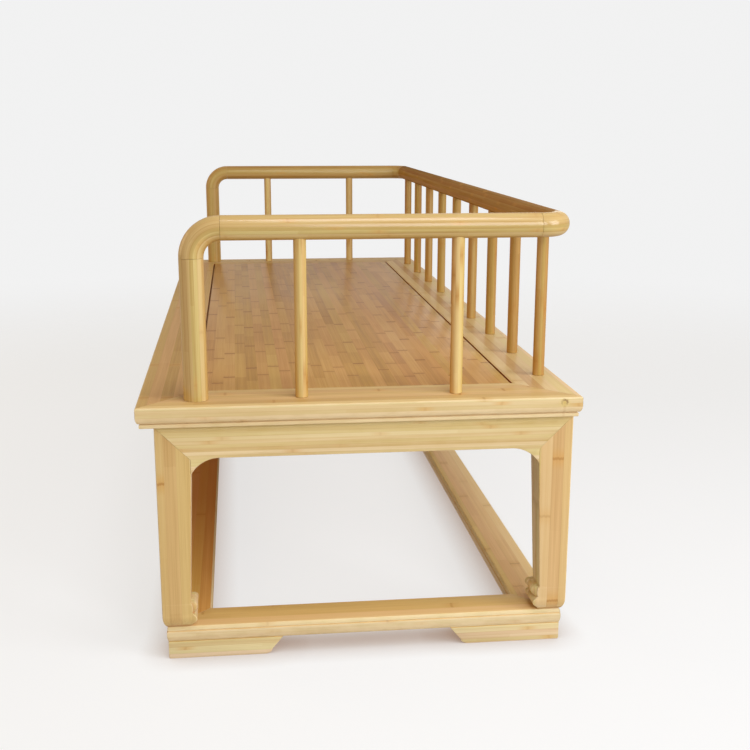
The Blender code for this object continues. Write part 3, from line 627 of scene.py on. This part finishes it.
def seatProfile(width, thickness):
    e = seatEdge
    tier = thickness - e["faceDepth"]
    quirk = thickness - e["tierDepth"]
    lipTop = quirk - e["quirkHeight"]
    turn = e["turnIn"]
    arris, soft, chamfer = e["arris"], e["lipArris"], e["lipChamfer"]
    above, below = e["lipSteps"]
    points = arcPoints((arris, thickness - arris), (arris, arris), 90, 180, e["arrisSteps"])
    points += arcPoints((turn, tier), (turn, tier - quirk), 180, 270, e["turnSteps"])
    points += [(turn + e["quirkDepth"], quirk), (turn + e["quirkDepth"], lipTop)]
    points += arcPoints((turn + soft, lipTop - soft), (soft, soft), 90, 180, above)
    points += arcPoints((turn + chamfer, chamfer), (chamfer, chamfer), 180, 270, below)
    grooveLow = thickness - e["panelThickness"] - hairline
    grooveHigh = grooveLow + e["tongue"] + 2 * hairline
    bottom = width - e["grooveDepth"]
    points += [(width, 0), (width, grooveLow), (bottom, grooveLow)]
    points += [(bottom, grooveHigh), (width, grooveHigh)]
    points += [(width, thickness - e["innerArris"]), (width - e["innerArris"], thickness)]
    return points


def boxWidth(node, axis):
    low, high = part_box(node)
    return high[axis] - low[axis]


longWidth = boxWidth("seat_front_rail", 1)
endWidth = boxWidth("seat_end_rail_right", 0)
seatThickness = boxWidth("seat_front_rail", 2)
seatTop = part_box("seat_front_rail")[1].z
for node, side, finish in (
    ("seat_front_rail", "front", "seat_front"),
    ("seat_back_rail", "back", "seat_rail"),
    ("seat_end_rail_left", "left", "seat_rail"),
    ("seat_end_rail_right", "right", "scarred_frame"),
):
    outward = towards[side]
    width, other = (longWidth, endWidth) if outward.y else (endWidth, longWidth)
    # the scar has its own place on the rail
    start = (0.0, 0.0, 0.0) if finish == "scarred_frame" else nextStart()
    mesh = mitredRail(node, outward, seatProfile(width, seatThickness), other / width, start)
    # painted shade on the inner faces, the walls of the groove beside the panel
    shadeFaces(mesh, -outward)
    addPiece(node, mesh, finish)

panelEdge = {"gapLong": 0.004, "gapEnd": 0.0003, "arris": 0.0006}


def seatPanel():
    low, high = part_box("seat_panel")
    tongueTop = low.z + seatEdge["tongue"]
    hidden = seatEdge["grooveDepth"] - hairline
    boardX = high.x - hidden - panelEdge["gapEnd"]
    boardY = high.y - hidden - panelEdge["gapLong"]
    soft = panelEdge["arris"]
    part = soft * arrisMiddle
    levels = (
        (low.z, high.x, high.y),
        (tongueTop, high.x, high.y),
        (tongueTop, boardX, boardY),
        (high.z - soft, boardX, boardY),
        (high.z - part, boardX - part, boardY - part),
        (high.z, boardX - soft, boardY - soft),
    )
    rings = [[(-x, -y, z), (x, -y, z), (x, y, z), (-x, y, z)] for z, x, y in levels]
    mesh = loftMesh("seat_panel", rings)
    layGrain(mesh, towards["right"], towards["back"], up, nextStart())
    # painted shade on the panel's long edges, down in the groove
    shadeFaces(mesh, towards["back"], towards["front"])
    addPiece("seat_panel", mesh, "seat")


seatPanel()
print("seat framed and panelled")

baseEdge = {
    "bulge": 0.004,
    "quirkDepth": 0.0025,
    "quirkFrom": 19,  # degrees above the middle of the bulge
    "quirkTo": 30,
    "bulgeSteps": 9,
    "shoulderSteps": 6,
}
# painted shadow of the seat on the top of the front base rail, deepest in the middle
seatShadow = {
    "depth": 0.70,
    "full": 0.30,  # from the middle of the bench
    "none": 0.92,
    "shares": (0.03, 0.12, 0.22, 0.35, 0.65, 0.78, 0.88, 0.97),
}


def baseProfile(width, height):
    e = baseEdge
    half = height / 2
    bulge = ((e["bulge"], half), (e["bulge"], half))
    edge = arcPoints(*bulge, 270, 180 - e["quirkFrom"], e["bulgeSteps"])
    shoulder = arcPoints(*bulge, 180 - e["quirkTo"], 90, e["shoulderSteps"])
    edge.append((edge[-1][0] + e["quirkDepth"], (edge[-1][1] + shoulder[0][1]) / 2))
    edge += shoulder
    return edge + [(width - across, rise) for across, rise in reversed(edge)]


def seatShadowDepth(place):
    faded = (abs(place.x) - seatShadow["full"]) / (seatShadow["none"] - seatShadow["full"])
    return seatShadow["depth"] * (1.0 - clamped(faded))


baseWidth = boxWidth("base_front_rail", 1)
baseHeight = boxWidth("base_front_rail", 2)
for node, side, finish, shares in (
    ("base_front_rail", "front", "base_front", seatShadow["shares"]),
    ("base_back_rail", "back", "base", ()),
    ("base_end_rail_left", "left", "base", ()),
    ("base_end_rail_right", "right", "base", ()),
):
    profile = baseProfile(baseWidth, baseHeight)
    mesh = mitredRail(node, towards[side], profile, 1.0, nextStart(), shares)
    # the front rail's top gets the painted shadow of the seat
    if side == "front":
        shadeFaces(mesh, up, depth=seatShadowDepth)
    addPiece(node, mesh, finish)

footShape = {
    "slantRun": 0.019,
    "roundRun": 0.015,
    "roundRise": 0.009,
    "corner": 0.003,
    "arris": 0.0012,
    "cornerSteps": 4,
    "roundSteps": 8,
}
leastLean = 0.3  # keeps a sharp corner from moving too far


def insetLoop(points, amount):
    # moves every side of a closed outline inwards, where its points run anticlockwise
    moved = []
    for i, here in enumerate(points):
        before = Vector(points[i - 1])
        after = Vector(points[(i + 1) % len(points)])
        here = Vector(here)
        first = (here - before).normalized()
        second = (after - here).normalized()
        normal = Vector((-first.y - second.y, first.x + second.x)).normalized()
        lean = max(leastLean, normal.dot(Vector((-first.y, first.x))))
        moved.append(here + normal * amount / lean)
    return moved


def cornerFoot(node):
    low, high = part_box(node)
    f = footShape
    length = high.y - low.y
    height = high.z - low.z
    toe = length - f["slantRun"] - f["roundRun"]
    corner = (f["corner"], f["corner"])
    outline = arcPoints(corner, corner, 180, 270, f["cornerSteps"])
    outline += arcPoints((toe, f["roundRise"]), (f["roundRun"], f["roundRise"]), 270, 360, f["roundSteps"])
    outline += [(length, height), (0, height)]
    outer, inward = (low.y, 1) if low.y < 0 else (high.y, -1)
    soft = f["arris"]
    part = soft * arrisMiddle
    places = [(low.x, soft), (low.x + part, part), (low.x + soft, 0.0)]
    places += [(low.x + high.x - x, inset) for x, inset in reversed(places)]
    rings = []
    for x, inset in places:
        rings.append([(x, outer + inward * a, low.z + b) for a, b in insetLoop(outline, inset)])
    mesh = loftMesh(node, rings)
    layGrain(mesh, towards["back"], towards["right"], up, nextStart())
    markWearAndShade(mesh)
    addPiece(node, mesh, "base")


# end side and face side
corners = {"left_front": (-1, -1), "right_front": (1, -1), "right_back": (1, 1), "left_back": (-1, 1)}
for corner in corners:
    cornerFoot("foot_" + corner)
print("base frame on its feet")

legShape = {
    "width": 0.058,
    "ankle": 0.049,
    "shoulderDrop": 0.085,  # apron height and spandrel drop
    "soleInset": 0.010,
    "soleRound": 0.022,
    "soleHeight": 0.0065,
    "soleToe": 0.012,
    "lowerLobe": 0.0150,
    "lowerLobeRise": 0.0105,
    "upperLobe": 0.0115,
    "upperLobeRise": 0.0100,
    "lowerSetback": 0.001,
    "notchDepth": 0.006,
    "notchRise": 0.002,
    "notchShare": 0.7,  # how much of the notch shows on the outer faces
    "upperFrontShare": 0.30,  # and how much of the upper lobe
    "lobeRun": 0.016,
    "arris": 0.0016,
    "outerArris": 0.0022,
    "mitreLand": 0.001,
    "apronThickness": 0.024,
    "lowerSpan": (-60, 45),  # degrees from level
    "upperSpan": (-50, 90),
    "lowerSteps": 10,
    "upperSteps": 12,
    "soleSteps": 9,
    "cornerSteps": 3,
    "arrisSteps": 4,
    "lobeSteps": 5,
    "leastRow": 0.0007,  # rows of the mesh lie no closer than this
    "innerShade": 0.32,
    "soleShadow": 0.0030,  # painted contact shadow reaches this far up the sole
    "notchShade": 0.0010,
    "cutSpare": 0.010,  # how far a cutter stands clear of the leg
}
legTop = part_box("seat_front_rail")[0].z - hairline
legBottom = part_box("base_front_rail")[1].z + hairline


def legSides():
    s = legShape
    tip = s["ankle"] + s["upperLobe"]
    lowerTip = tip - s["lowerSetback"]
    radii = (s["lowerLobe"], s["lowerLobeRise"])
    lower = arcPoints((lowerTip - s["lowerLobe"], 0), radii, *s["lowerSpan"], s["lowerSteps"])
    lift = legBottom + s["soleHeight"] - lower[0][1]
    lower = [(a, z + lift) for a, z in lower]
    notch = lower[-1][1] + s["notchRise"]
    radii = (s["upperLobe"], s["upperLobeRise"])
    upper = arcPoints((s["ankle"], 0), radii, *s["upperSpan"], s["upperSteps"])
    lift = notch + s["notchRise"] - upper[0][1]
    upper = [(a, z + lift) for a, z in upper]
    share = s["upperFrontShare"]
    sides = [(legBottom, lowerTip - s["soleToe"], 1.0)]
    sides += [(z, a, 1.0) for a, z in lower]
    sides.append((notch, tip - s["notchDepth"], s["notchShare"]))
    sides += [(z, a, share) for a, z in upper]
    sides.append((legTop - s["shoulderDrop"], s["width"], 1.0))
    sides.append((legTop, s["width"], 1.0))
    return sides


def between(table, z):
    for first, second in zip(table, table[1:]):
        if z <= second[0]:
            break
    t = (z - first[0]) / (second[0] - first[0])
    return [x + (y - x) * t for x, y in zip(first[1:], second[1:])]


def legSection(outer, inner, share):
    # one half of the section, from the outer corner to the inner one, then its mirror image
    s = legShape
    round0, round1 = s["outerArris"], s["arris"]
    bulge = max(0.0, inner - s["ankle"]) if share < 1.0 else 0.0
    edge = inner - bulge * (1.0 - share)
    steps = s["lobeSteps"]
    start = outer + round1
    half = arcPoints((outer + round0, outer + round0), (round0, round0), 225, 180, s["cornerSteps"])
    half += arcPoints((start, edge - round1), (round1, round1), 180, 90, s["arrisSteps"])
    for step in range(1, steps + 1):
        t = step / steps
        ease = 0.5 - 0.5 * math.cos(math.pi * t)
        half.append((start + (s["lobeRun"] - round1) * t, edge + (inner - edge) * ease))
    half += arcPoints((inner - round0, inner - round0), (round0, round0), 90, 45, s["cornerSteps"])
    return half + [(b, a) for a, b in reversed(half[1:-1])]


def soleInset(z):
    s = legShape
    rise = min(1.0, (z - legBottom) / s["soleRound"])
    return s["soleInset"] * (1.0 - math.sqrt(1.0 - (1.0 - rise) ** 2))


def legLoft(corner):
    s = legShape
    sole = arcPoints((0, legBottom + s["soleRound"]), (0, s["soleRound"]), 270, 180, s["soleSteps"])
    innerTable = legSides()
    heights = []
    for z in sorted([z for a, z in sole] + [row[0] for row in innerTable]):
        if not heights or z - heights[-1] > s["leastRow"]:
            heights.append(z)
    endSide, faceSide = corners[corner]
    low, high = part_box("leg_" + corner)
    edgeX = high.x if endSide > 0 else low.x
    edgeY = high.y if faceSide > 0 else low.y
    rings = []
    for z in heights:
        inner, share = between(innerTable, z)
        section = legSection(soleInset(z), inner, share)
        rings.append([(edgeX - endSide * a, edgeY - faceSide * b, z) for a, b in section])
    return loftMesh("leg_" + corner, rings), edgeX, edgeY


def cutAway(mesh, cutterMeshes):
    holder = bpy.data.objects.new("cut_stock", mesh)
    scene.collection.objects.link(holder)
    tools = []
    for cutterMesh in cutterMeshes:
        tool = bpy.data.objects.new("cut_tool", cutterMesh)
        scene.collection.objects.link(tool)
        cut = holder.modifiers.new("cut", "BOOLEAN")
        cut.object = tool
        cut.solver = "EXACT"
        tools.append(tool)
    view = bpy.context.evaluated_depsgraph_get()
    done = bpy.data.meshes.new_from_object(holder.evaluated_get(view))
    for used in (holder, *tools):
        bpy.data.objects.remove(used)
    return done


def carvedLeg(corner):
    # both outer faces are cut back above the mitres, where the aprons lie
    s = legShape
    mesh, edgeX, edgeY = legLoft(corner)
    endSide, faceSide = corners[corner]
    spare = s["cutSpare"]
    far = s["width"] + spare
    peak = legTop - s["mitreLand"]
    wedge = [(-spare, peak + spare), (far, peak - far), (far, peak + spare)]
    deep = s["apronThickness"] + hairline
    tools = []
    for name in ("end", "face"):
        rings = []
        for d in (-spare, deep):
            if name == "end":
                ring = [(edgeX - endSide * d, edgeY - faceSide * b, z) for b, z in wedge]
            else:
                ring = [(edgeX - endSide * b, edgeY - faceSide * d, z) for b, z in wedge]
            rings.append(ring)
        tools.append(loftMesh("cut_" + name, rings))
    mesh = cutAway(mesh, tools)
    layGrain(mesh, up, towards["back"], towards["right"], nextStart())
    markWearAndShade(mesh)
    notch = next(z for z, a, share in legSides() if share == s["notchShare"])
    # painted shade in the hoof's notch, and painted contact shadow at the foot of the sole
    for vertex, cell in zip(mesh.vertices, mesh.attributes["wearAndShade"].data):
        inside = min(abs(vertex.co.x - edgeX), abs(vertex.co.y - edgeY)) > s["outerArris"]
        inNotch = inside and abs(vertex.co.z - notch) < s["notchShade"]
        if inNotch or vertex.co.z < legBottom + s["soleShadow"]:
            cell.value = -1.0
    if faceSide < 0:  # the front legs get painted shade on their inner faces
        shadeFaces(mesh, towards["back"], depth=lambda place: s["innerShade"])
    addPiece("leg_" + corner, mesh, "leg")


for corner in corners:
    carvedLeg(corner)

apronShape = {
    "height": 0.057,
    "spandrelLength": 0.048,
    "spandrelDrop": 0.028,
    "arris": 0.0014,
    "curveSteps": 12,
}


def apronRing(span, depth, arris):
    a = apronShape
    leg = legShape["width"] + hairline
    peak = legTop - legShape["mitreLand"] + hairline * math.sqrt(2)
    bottom = legTop - a["height"]
    tip = depth + hairline
    radius = (a["spandrelLength"] ** 2 + a["spandrelDrop"] ** 2) / (2 * a["spandrelDrop"])
    sweep = math.degrees(math.asin(a["spandrelLength"] / radius))
    centre = (leg + a["spandrelLength"], bottom - radius)
    curve = arcPoints(centre, (radius + arris, radius + arris), 90 + sweep, 90, a["curveSteps"])
    half = [(tip, legTop), (tip, peak - tip), (leg, peak - leg)]
    half += [(max(leg, s), z) for s, z in curve]
    return half + [(span - s, z) for s, z in reversed(half)]


def apron(node, outward):
    low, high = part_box(node)
    run = Vector((abs(outward.y), abs(outward.x), 0))
    outer = max(outward.dot(low), outward.dot(high))
    thickness = abs(outward.dot(high - low))
    first = run.dot(low) - hairline
    span = run.dot(high) + hairline - first
    soft = apronShape["arris"]
    part = soft * arrisMiddle
    faces = [(0.0, soft), (part, part), (soft, 0.0)]
    faces += [(thickness - depth, arris) for depth, arris in reversed(faces)]
    rings = []
    for depth, arris in faces:
        ring = apronRing(span, depth, arris)
        rings.append([outward * (outer - depth) + run * (first + s) + up * z for s, z in ring])
    mesh = loftMesh(node, rings)
    layGrain(mesh, run, outward, up, nextStart())
    markWearAndShade(mesh)
    addPiece(node, mesh, "frame")


for side, outward in towards.items():
    apron("apron_" + side, outward)
print("legs carved and aprons fitted")

# round rails, posts and spindles
railShape = {
    "radius": 0.0205,
    "sides": 48,
    "bendSteps": 24,
    "softEnd": 0.0003,
    "elbowRadius": 0.048,
    "cornerRadius": 0.038,
}
spindleShape = {
    "radius": 0.0106,
    "sides": 32,
    "softEnd": 0.0006,
    "rows": (0.09, 0.18),  # heights of the rings between the ends
    "topGap": 0.00005,  # between the spindle and the rail above it
    "backCount": 9,
}


def hoop(centre, first, second, radius, sides):
    ring = []
    for i in range(sides):
        angle = 2 * math.pi * i / sides
        ring.append(centre + first * (radius * math.cos(angle)) + second * (radius * math.sin(angle)))
    return ring


def roundBar(node, start, end, origin, finish):
    # grain is measured from the bar's own axis
    radius, sides, soft = railShape["radius"], railShape["sides"], railShape["softEnd"]
    axis = (end - start).normalized()
    first = towards["right"] if abs(axis.x) < 0.5 else towards["back"]
    second = axis.cross(first)
    length = (end - start).length
    rings = []
    for place, inset in ((0.0, soft), (soft, 0.0), (length / 2, 0.0), (length - soft, 0.0), (length, soft)):
        rings.append(hoop(start + axis * place, first, second, radius - inset, sides))
    mesh = loftMesh(node, rings)
    shift = (origin[0], origin[1] - start.dot(first), origin[2] - start.dot(second))
    layGrain(mesh, axis, first, second, shift)
    addPiece(node, mesh, finish)


def bentBar(node, start, crown, end, origin, acrossFrom, throughFrom, finish):
    # the strips follow the bend; acrossFrom and throughFrom say how they lie on the two axes of the section
    r = railShape
    first = (crown - start).normalized()
    second = (end - crown).normalized()
    radius = (crown - start).length
    centre = start + second * radius
    flat = first.cross(second)
    soft = r["softEnd"]
    sweep = math.pi / 2
    lead = soft / radius
    angles = [(0.0, soft), (lead, 0.0)]
    angles += [(lead + (sweep - 2 * lead) * i / r["bendSteps"], 0.0) for i in range(1, r["bendSteps"])]
    angles += [(sweep - lead, 0.0), (sweep, soft)]
    rings = []
    grain = []
    for angle, inset in angles:
        outwards = -second * math.cos(angle) + first * math.sin(angle)
        rings.append(hoop(centre + outwards * radius, outwards, flat, r["radius"] - inset, r["sides"]))
        for i in range(r["sides"]):
            turn = 2 * math.pi * i / r["sides"]
            section = Vector((math.cos(turn), math.sin(turn))) * (r["radius"] - inset)
            across = section.dot(Vector(acrossFrom)) + origin[1]
            grain.append((angle * radius + origin[0], across, section.dot(Vector(throughFrom)) + origin[2]))
    mesh = loftMesh(node, rings)
    field = mesh.attributes.new("grain", "FLOAT_VECTOR", "POINT")
    for cell, value in zip(field.data, grain):
        cell.vector = value
    smoothMesh(mesh)
    broad = mesh.attributes.new("broad", "FLOAT", "CORNER")
    for loop, corner, cell in zip(mesh.loops, mesh.corner_normals, broad.data):
        out = mesh.vertices[loop.vertex_index].co - centre
        out = (out - flat * out.dot(flat)).normalized()
        facing = Vector((corner.vector.dot(out), corner.vector.dot(flat)))
        cell.value = facing.dot(Vector(throughFrom)) ** 2
    addPiece(node, mesh, finish)


def midpoint(node):
    low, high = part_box(node)
    return (low + high) / 2


railAxis = midpoint("back_rail").z
backY = midpoint("back_rail").y
for side, sign, finish in (("left", -1, "far_rail_shaded"), ("right", 1, "rail")):
    r = railShape
    post = midpoint("arm_post_" + side)
    x = post.x
    elbowLow = railAxis - r["elbowRadius"]
    elbowBack = post.y + r["elbowRadius"]
    cornerFront = backY - r["cornerRadius"]
    origin = nextStart()  # one length of stock for the whole arm
    foot = Vector((x, post.y, seatTop + hairline))
    roundBar("arm_post_" + side, foot, Vector((x, post.y, elbowLow - hairline)), origin, finish)
    bentBar(
        "arm_elbow_" + side,
        Vector((x, post.y, elbowLow)),
        Vector((x, post.y, railAxis)),
        Vector((x, elbowBack, railAxis)),
        origin,
        (0, -1),
        (-1, 0),
        finish,
    )
    front = Vector((x, elbowBack + hairline, railAxis))
    roundBar("arm_rail_" + side, front, Vector((x, cornerFront - hairline, railAxis)), origin, finish)
    bentBar(
        "rail_corner_" + side,
        Vector((x, cornerFront, railAxis)),
        Vector((x, backY, railAxis)),
        Vector((x - sign * r["cornerRadius"], backY, railAxis)),
        origin,
        (sign, 0),
        (0, -sign),
        finish,
    )
low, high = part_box("back_rail")
roundBar(
    "back_rail",
    Vector((low.x, backY, railAxis)),
    Vector((high.x, backY, railAxis)),
    nextStart(),
    "back_rail",
)


def spindle(node, across, finish):
    # the top is coped to the round of the rail above it
    s = spindleShape
    middle = midpoint(node)
    axis = Vector((middle.x, middle.y, 0))
    first, second = towards["right"], towards["back"]
    rings = []
    for z, inset in ((0.0, s["softEnd"]), (s["softEnd"], 0.0), *((row, 0.0) for row in s["rows"])):
        centre = axis + up * (seatTop + hairline + z)
        rings.append(hoop(centre, first, second, s["radius"] - inset, s["sides"]))
    top = hoop(axis, first, second, s["radius"], s["sides"])
    coped = []
    for point in top:
        off = (point - axis).dot(across)
        under = railAxis - math.sqrt(railShape["radius"] ** 2 - off * off)
        coped.append(point + up * (under - s["topGap"]))
    rings.append(coped)
    mesh = loftMesh(node, rings)
    layGrain(mesh, up, first, second, nextStart())
    addPiece(node, mesh, finish)


for side in ("left", "right"):
    for place in ("front", "back"):
        spindle("arm_spindle_" + side + "_" + place, towards["right"], "spindle")
for i in range(1, spindleShape["backCount"] + 1):
    spindle("back_spindle_" + str(i), towards["back"], "back_spindle")
print("railing raised")

# battens and dowels keep their solids
for node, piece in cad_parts.items():
    for start, finish in (("seat_batten", "batten"), ("foot_dowel", "peg")):
        if node.startswith(start):
            piece.data.materials.clear()
            piece.data.materials.append(finishes[finish])

studio = {
    "floorColour": (0.62, 0.62, 0.63),
    "floorShade": (0.250, 0.256, 0.268),  # the floor's colour where it shows
    "floorLift": 0.70,  # the rest of its brightness there, which keeps shadows pale
    "floorSides": 96,
    "floorRim": 0.5,
    "contactReach": 0.06,
    "contactShade": (0.36, 0.20, 0.12),
    "background": (0.885, 0.885, 0.885),
    "ambient": (0.250, 0.190, 0.115),
    "fadeFrom": 1.3,  # the floor fades into the background
    "fadeTo": 4.2,
}
# place, aim, size, power and colour
lamps = {
    "window": ((2.6, 2.8, 1.7), (0.5, 0.0, 0.45), 1.8, 71.0, (0.97, 0.985, 1.0)),
    "front": ((4.0, 0.9, 1.65), (0.9, 0.0, 0.35), 1.6, 49.0, (0.96, 0.985, 1.0)),
    "fill": ((3.6, -2.4, 0.9), (0.8, 0.0, 0.45), 1.4, 11.0, (1.0, 0.70, 0.36)),
    "room": ((-0.7, -4.1, 1.8), (0.0, 0.0, 0.4), 2.4, 52.0, (1.0, 0.80, 0.52)),
    "gleam": ((-3.35, 1.4, 1.45), (0.6, 0.2, 0.45), 1.2, 8.0, (1.0, 0.98, 0.94)),
    "ceiling": ((1.7, 0.3, 3.0), (0.6, 0.0, 0.4), 1.0, 22.0, (0.96, 0.96, 1.0)),
}


def shownRays(tree):
    # the pale backdrop shows to the camera and in reflections, and adds no light
    paths = addNode(tree, "LightPath")
    shown = calc(tree, "MAXIMUM", paths["Is Camera Ray"], paths["Is Glossy Ray"])
    return calc(tree, "MAXIMUM", shown, paths["Is Transmission Ray"])


def studioFloor():
    built = bmesh.new()
    radius = studio["fadeTo"] + studio["floorRim"]
    bmesh.ops.create_circle(built, cap_ends=True, segments=studio["floorSides"], radius=radius)
    mesh = bpy.data.meshes.new("studio_floor")
    built.to_mesh(mesh)
    built.free()
    floor = bpy.data.objects.new("studio_floor", mesh)
    scene.collection.objects.link(floor)
    made = bpy.data.materials.new("studio_floor")
    made.use_nodes = True
    tree = made.node_tree
    tree.nodes.clear()
    shown = shownRays(tree)
    floorColour = mixColour(tree, shown, studio["floorColour"], studio["floorShade"])
    matte = addNode(tree, "BsdfDiffuse", floorColour)
    nearby = tree.nodes.new("ShaderNodeAmbientOcclusion")
    nearby.inputs["Distance"].default_value = studio["contactReach"]
    contact = mixColour(tree, nearby.outputs["AO"], studio["contactShade"], (1.0, 1.0, 1.0))
    lift = addNode(tree, "Emission", contact, calc(tree, "MULTIPLY", shown, studio["floorLift"]))
    both = addNode(tree, "AddShader", matte[0], lift[0])
    clear = addNode(tree, "BsdfTransparent")
    distance = tree.nodes.new("ShaderNodeVectorMath")
    distance.operation = "LENGTH"
    feed(tree, distance.inputs, [addNode(tree, "TexCoord")["Object"]])
    gone = fade(tree, distance.outputs["Value"], studio["fadeFrom"], studio["fadeTo"])
    mixed = addNode(tree, "MixShader", gone, both[0], clear[0])
    addNode(tree, "OutputMaterial", mixed[0])
    mesh.materials.append(made)


def studioWorld():
    world = bpy.data.worlds.new("studio")
    scene.world = world
    world.use_nodes = True
    tree = world.node_tree
    tree.nodes.clear()
    ambient = addNode(tree, "Background", studio["ambient"])
    seen = addNode(tree, "Background", studio["background"])
    mixed = addNode(tree, "MixShader", shownRays(tree), ambient[0], seen[0])
    addNode(tree, "OutputWorld", mixed[0])


def softLamp(name, place, aim, size, power, colour):
    light = bpy.data.lights.new(name, "AREA")
    light.shape = "SQUARE"
    light.size = size
    light.energy = power
    light.color = colour
    holder = bpy.data.objects.new(name, light)
    holder.visible_camera = False
    scene.collection.objects.link(holder)
    holder.location = place
    holder.rotation_euler = (Vector(aim) - Vector(place)).to_track_quat("-Z", "Y").to_euler()


studioFloor()
studioWorld()
for name, lamp in lamps.items():
    softLamp("studio_" + name, *lamp)

eye = {
    "place": (2.82832, -0.20029, 0.91823),
    "yaw": -0.11914,
    "pitch": 0.24717,
    "roll": 0.0018,
    "lens": 54.854,
    "sensor": 36.0,
    "shift": 0.04,
    "nearest": 0.05,
}


def photoCamera():
    yaw, pitch, roll = eye["yaw"], eye["pitch"], eye["roll"]
    level = math.cos(pitch)
    forward = Vector((-level * math.cos(yaw), -level * math.sin(yaw), -math.sin(pitch)))
    right = forward.cross(up).normalized()
    top = right.cross(forward)
    turnedRight = right * math.cos(roll) + top * math.sin(roll)
    turnedTop = top * math.cos(roll) - right * math.sin(roll)
    lens = bpy.data.cameras.new("photo_camera")
    lens.sensor_fit = "HORIZONTAL"
    lens.sensor_width = eye["sensor"]
    lens.lens = eye["lens"]
    lens.shift_y = eye["shift"]
    lens.clip_start = eye["nearest"]
    camera = bpy.data.objects.new("photo_camera", lens)
    scene.collection.objects.link(camera)
    columns = Matrix((turnedRight, turnedTop, -forward)).transposed()
    camera.matrix_world = Matrix.Translation(eye["place"]) @ columns.to_4x4()
    scene.camera = camera


photoCamera()
scene.view_settings.view_transform = "Standard"
print("studio and camera set")
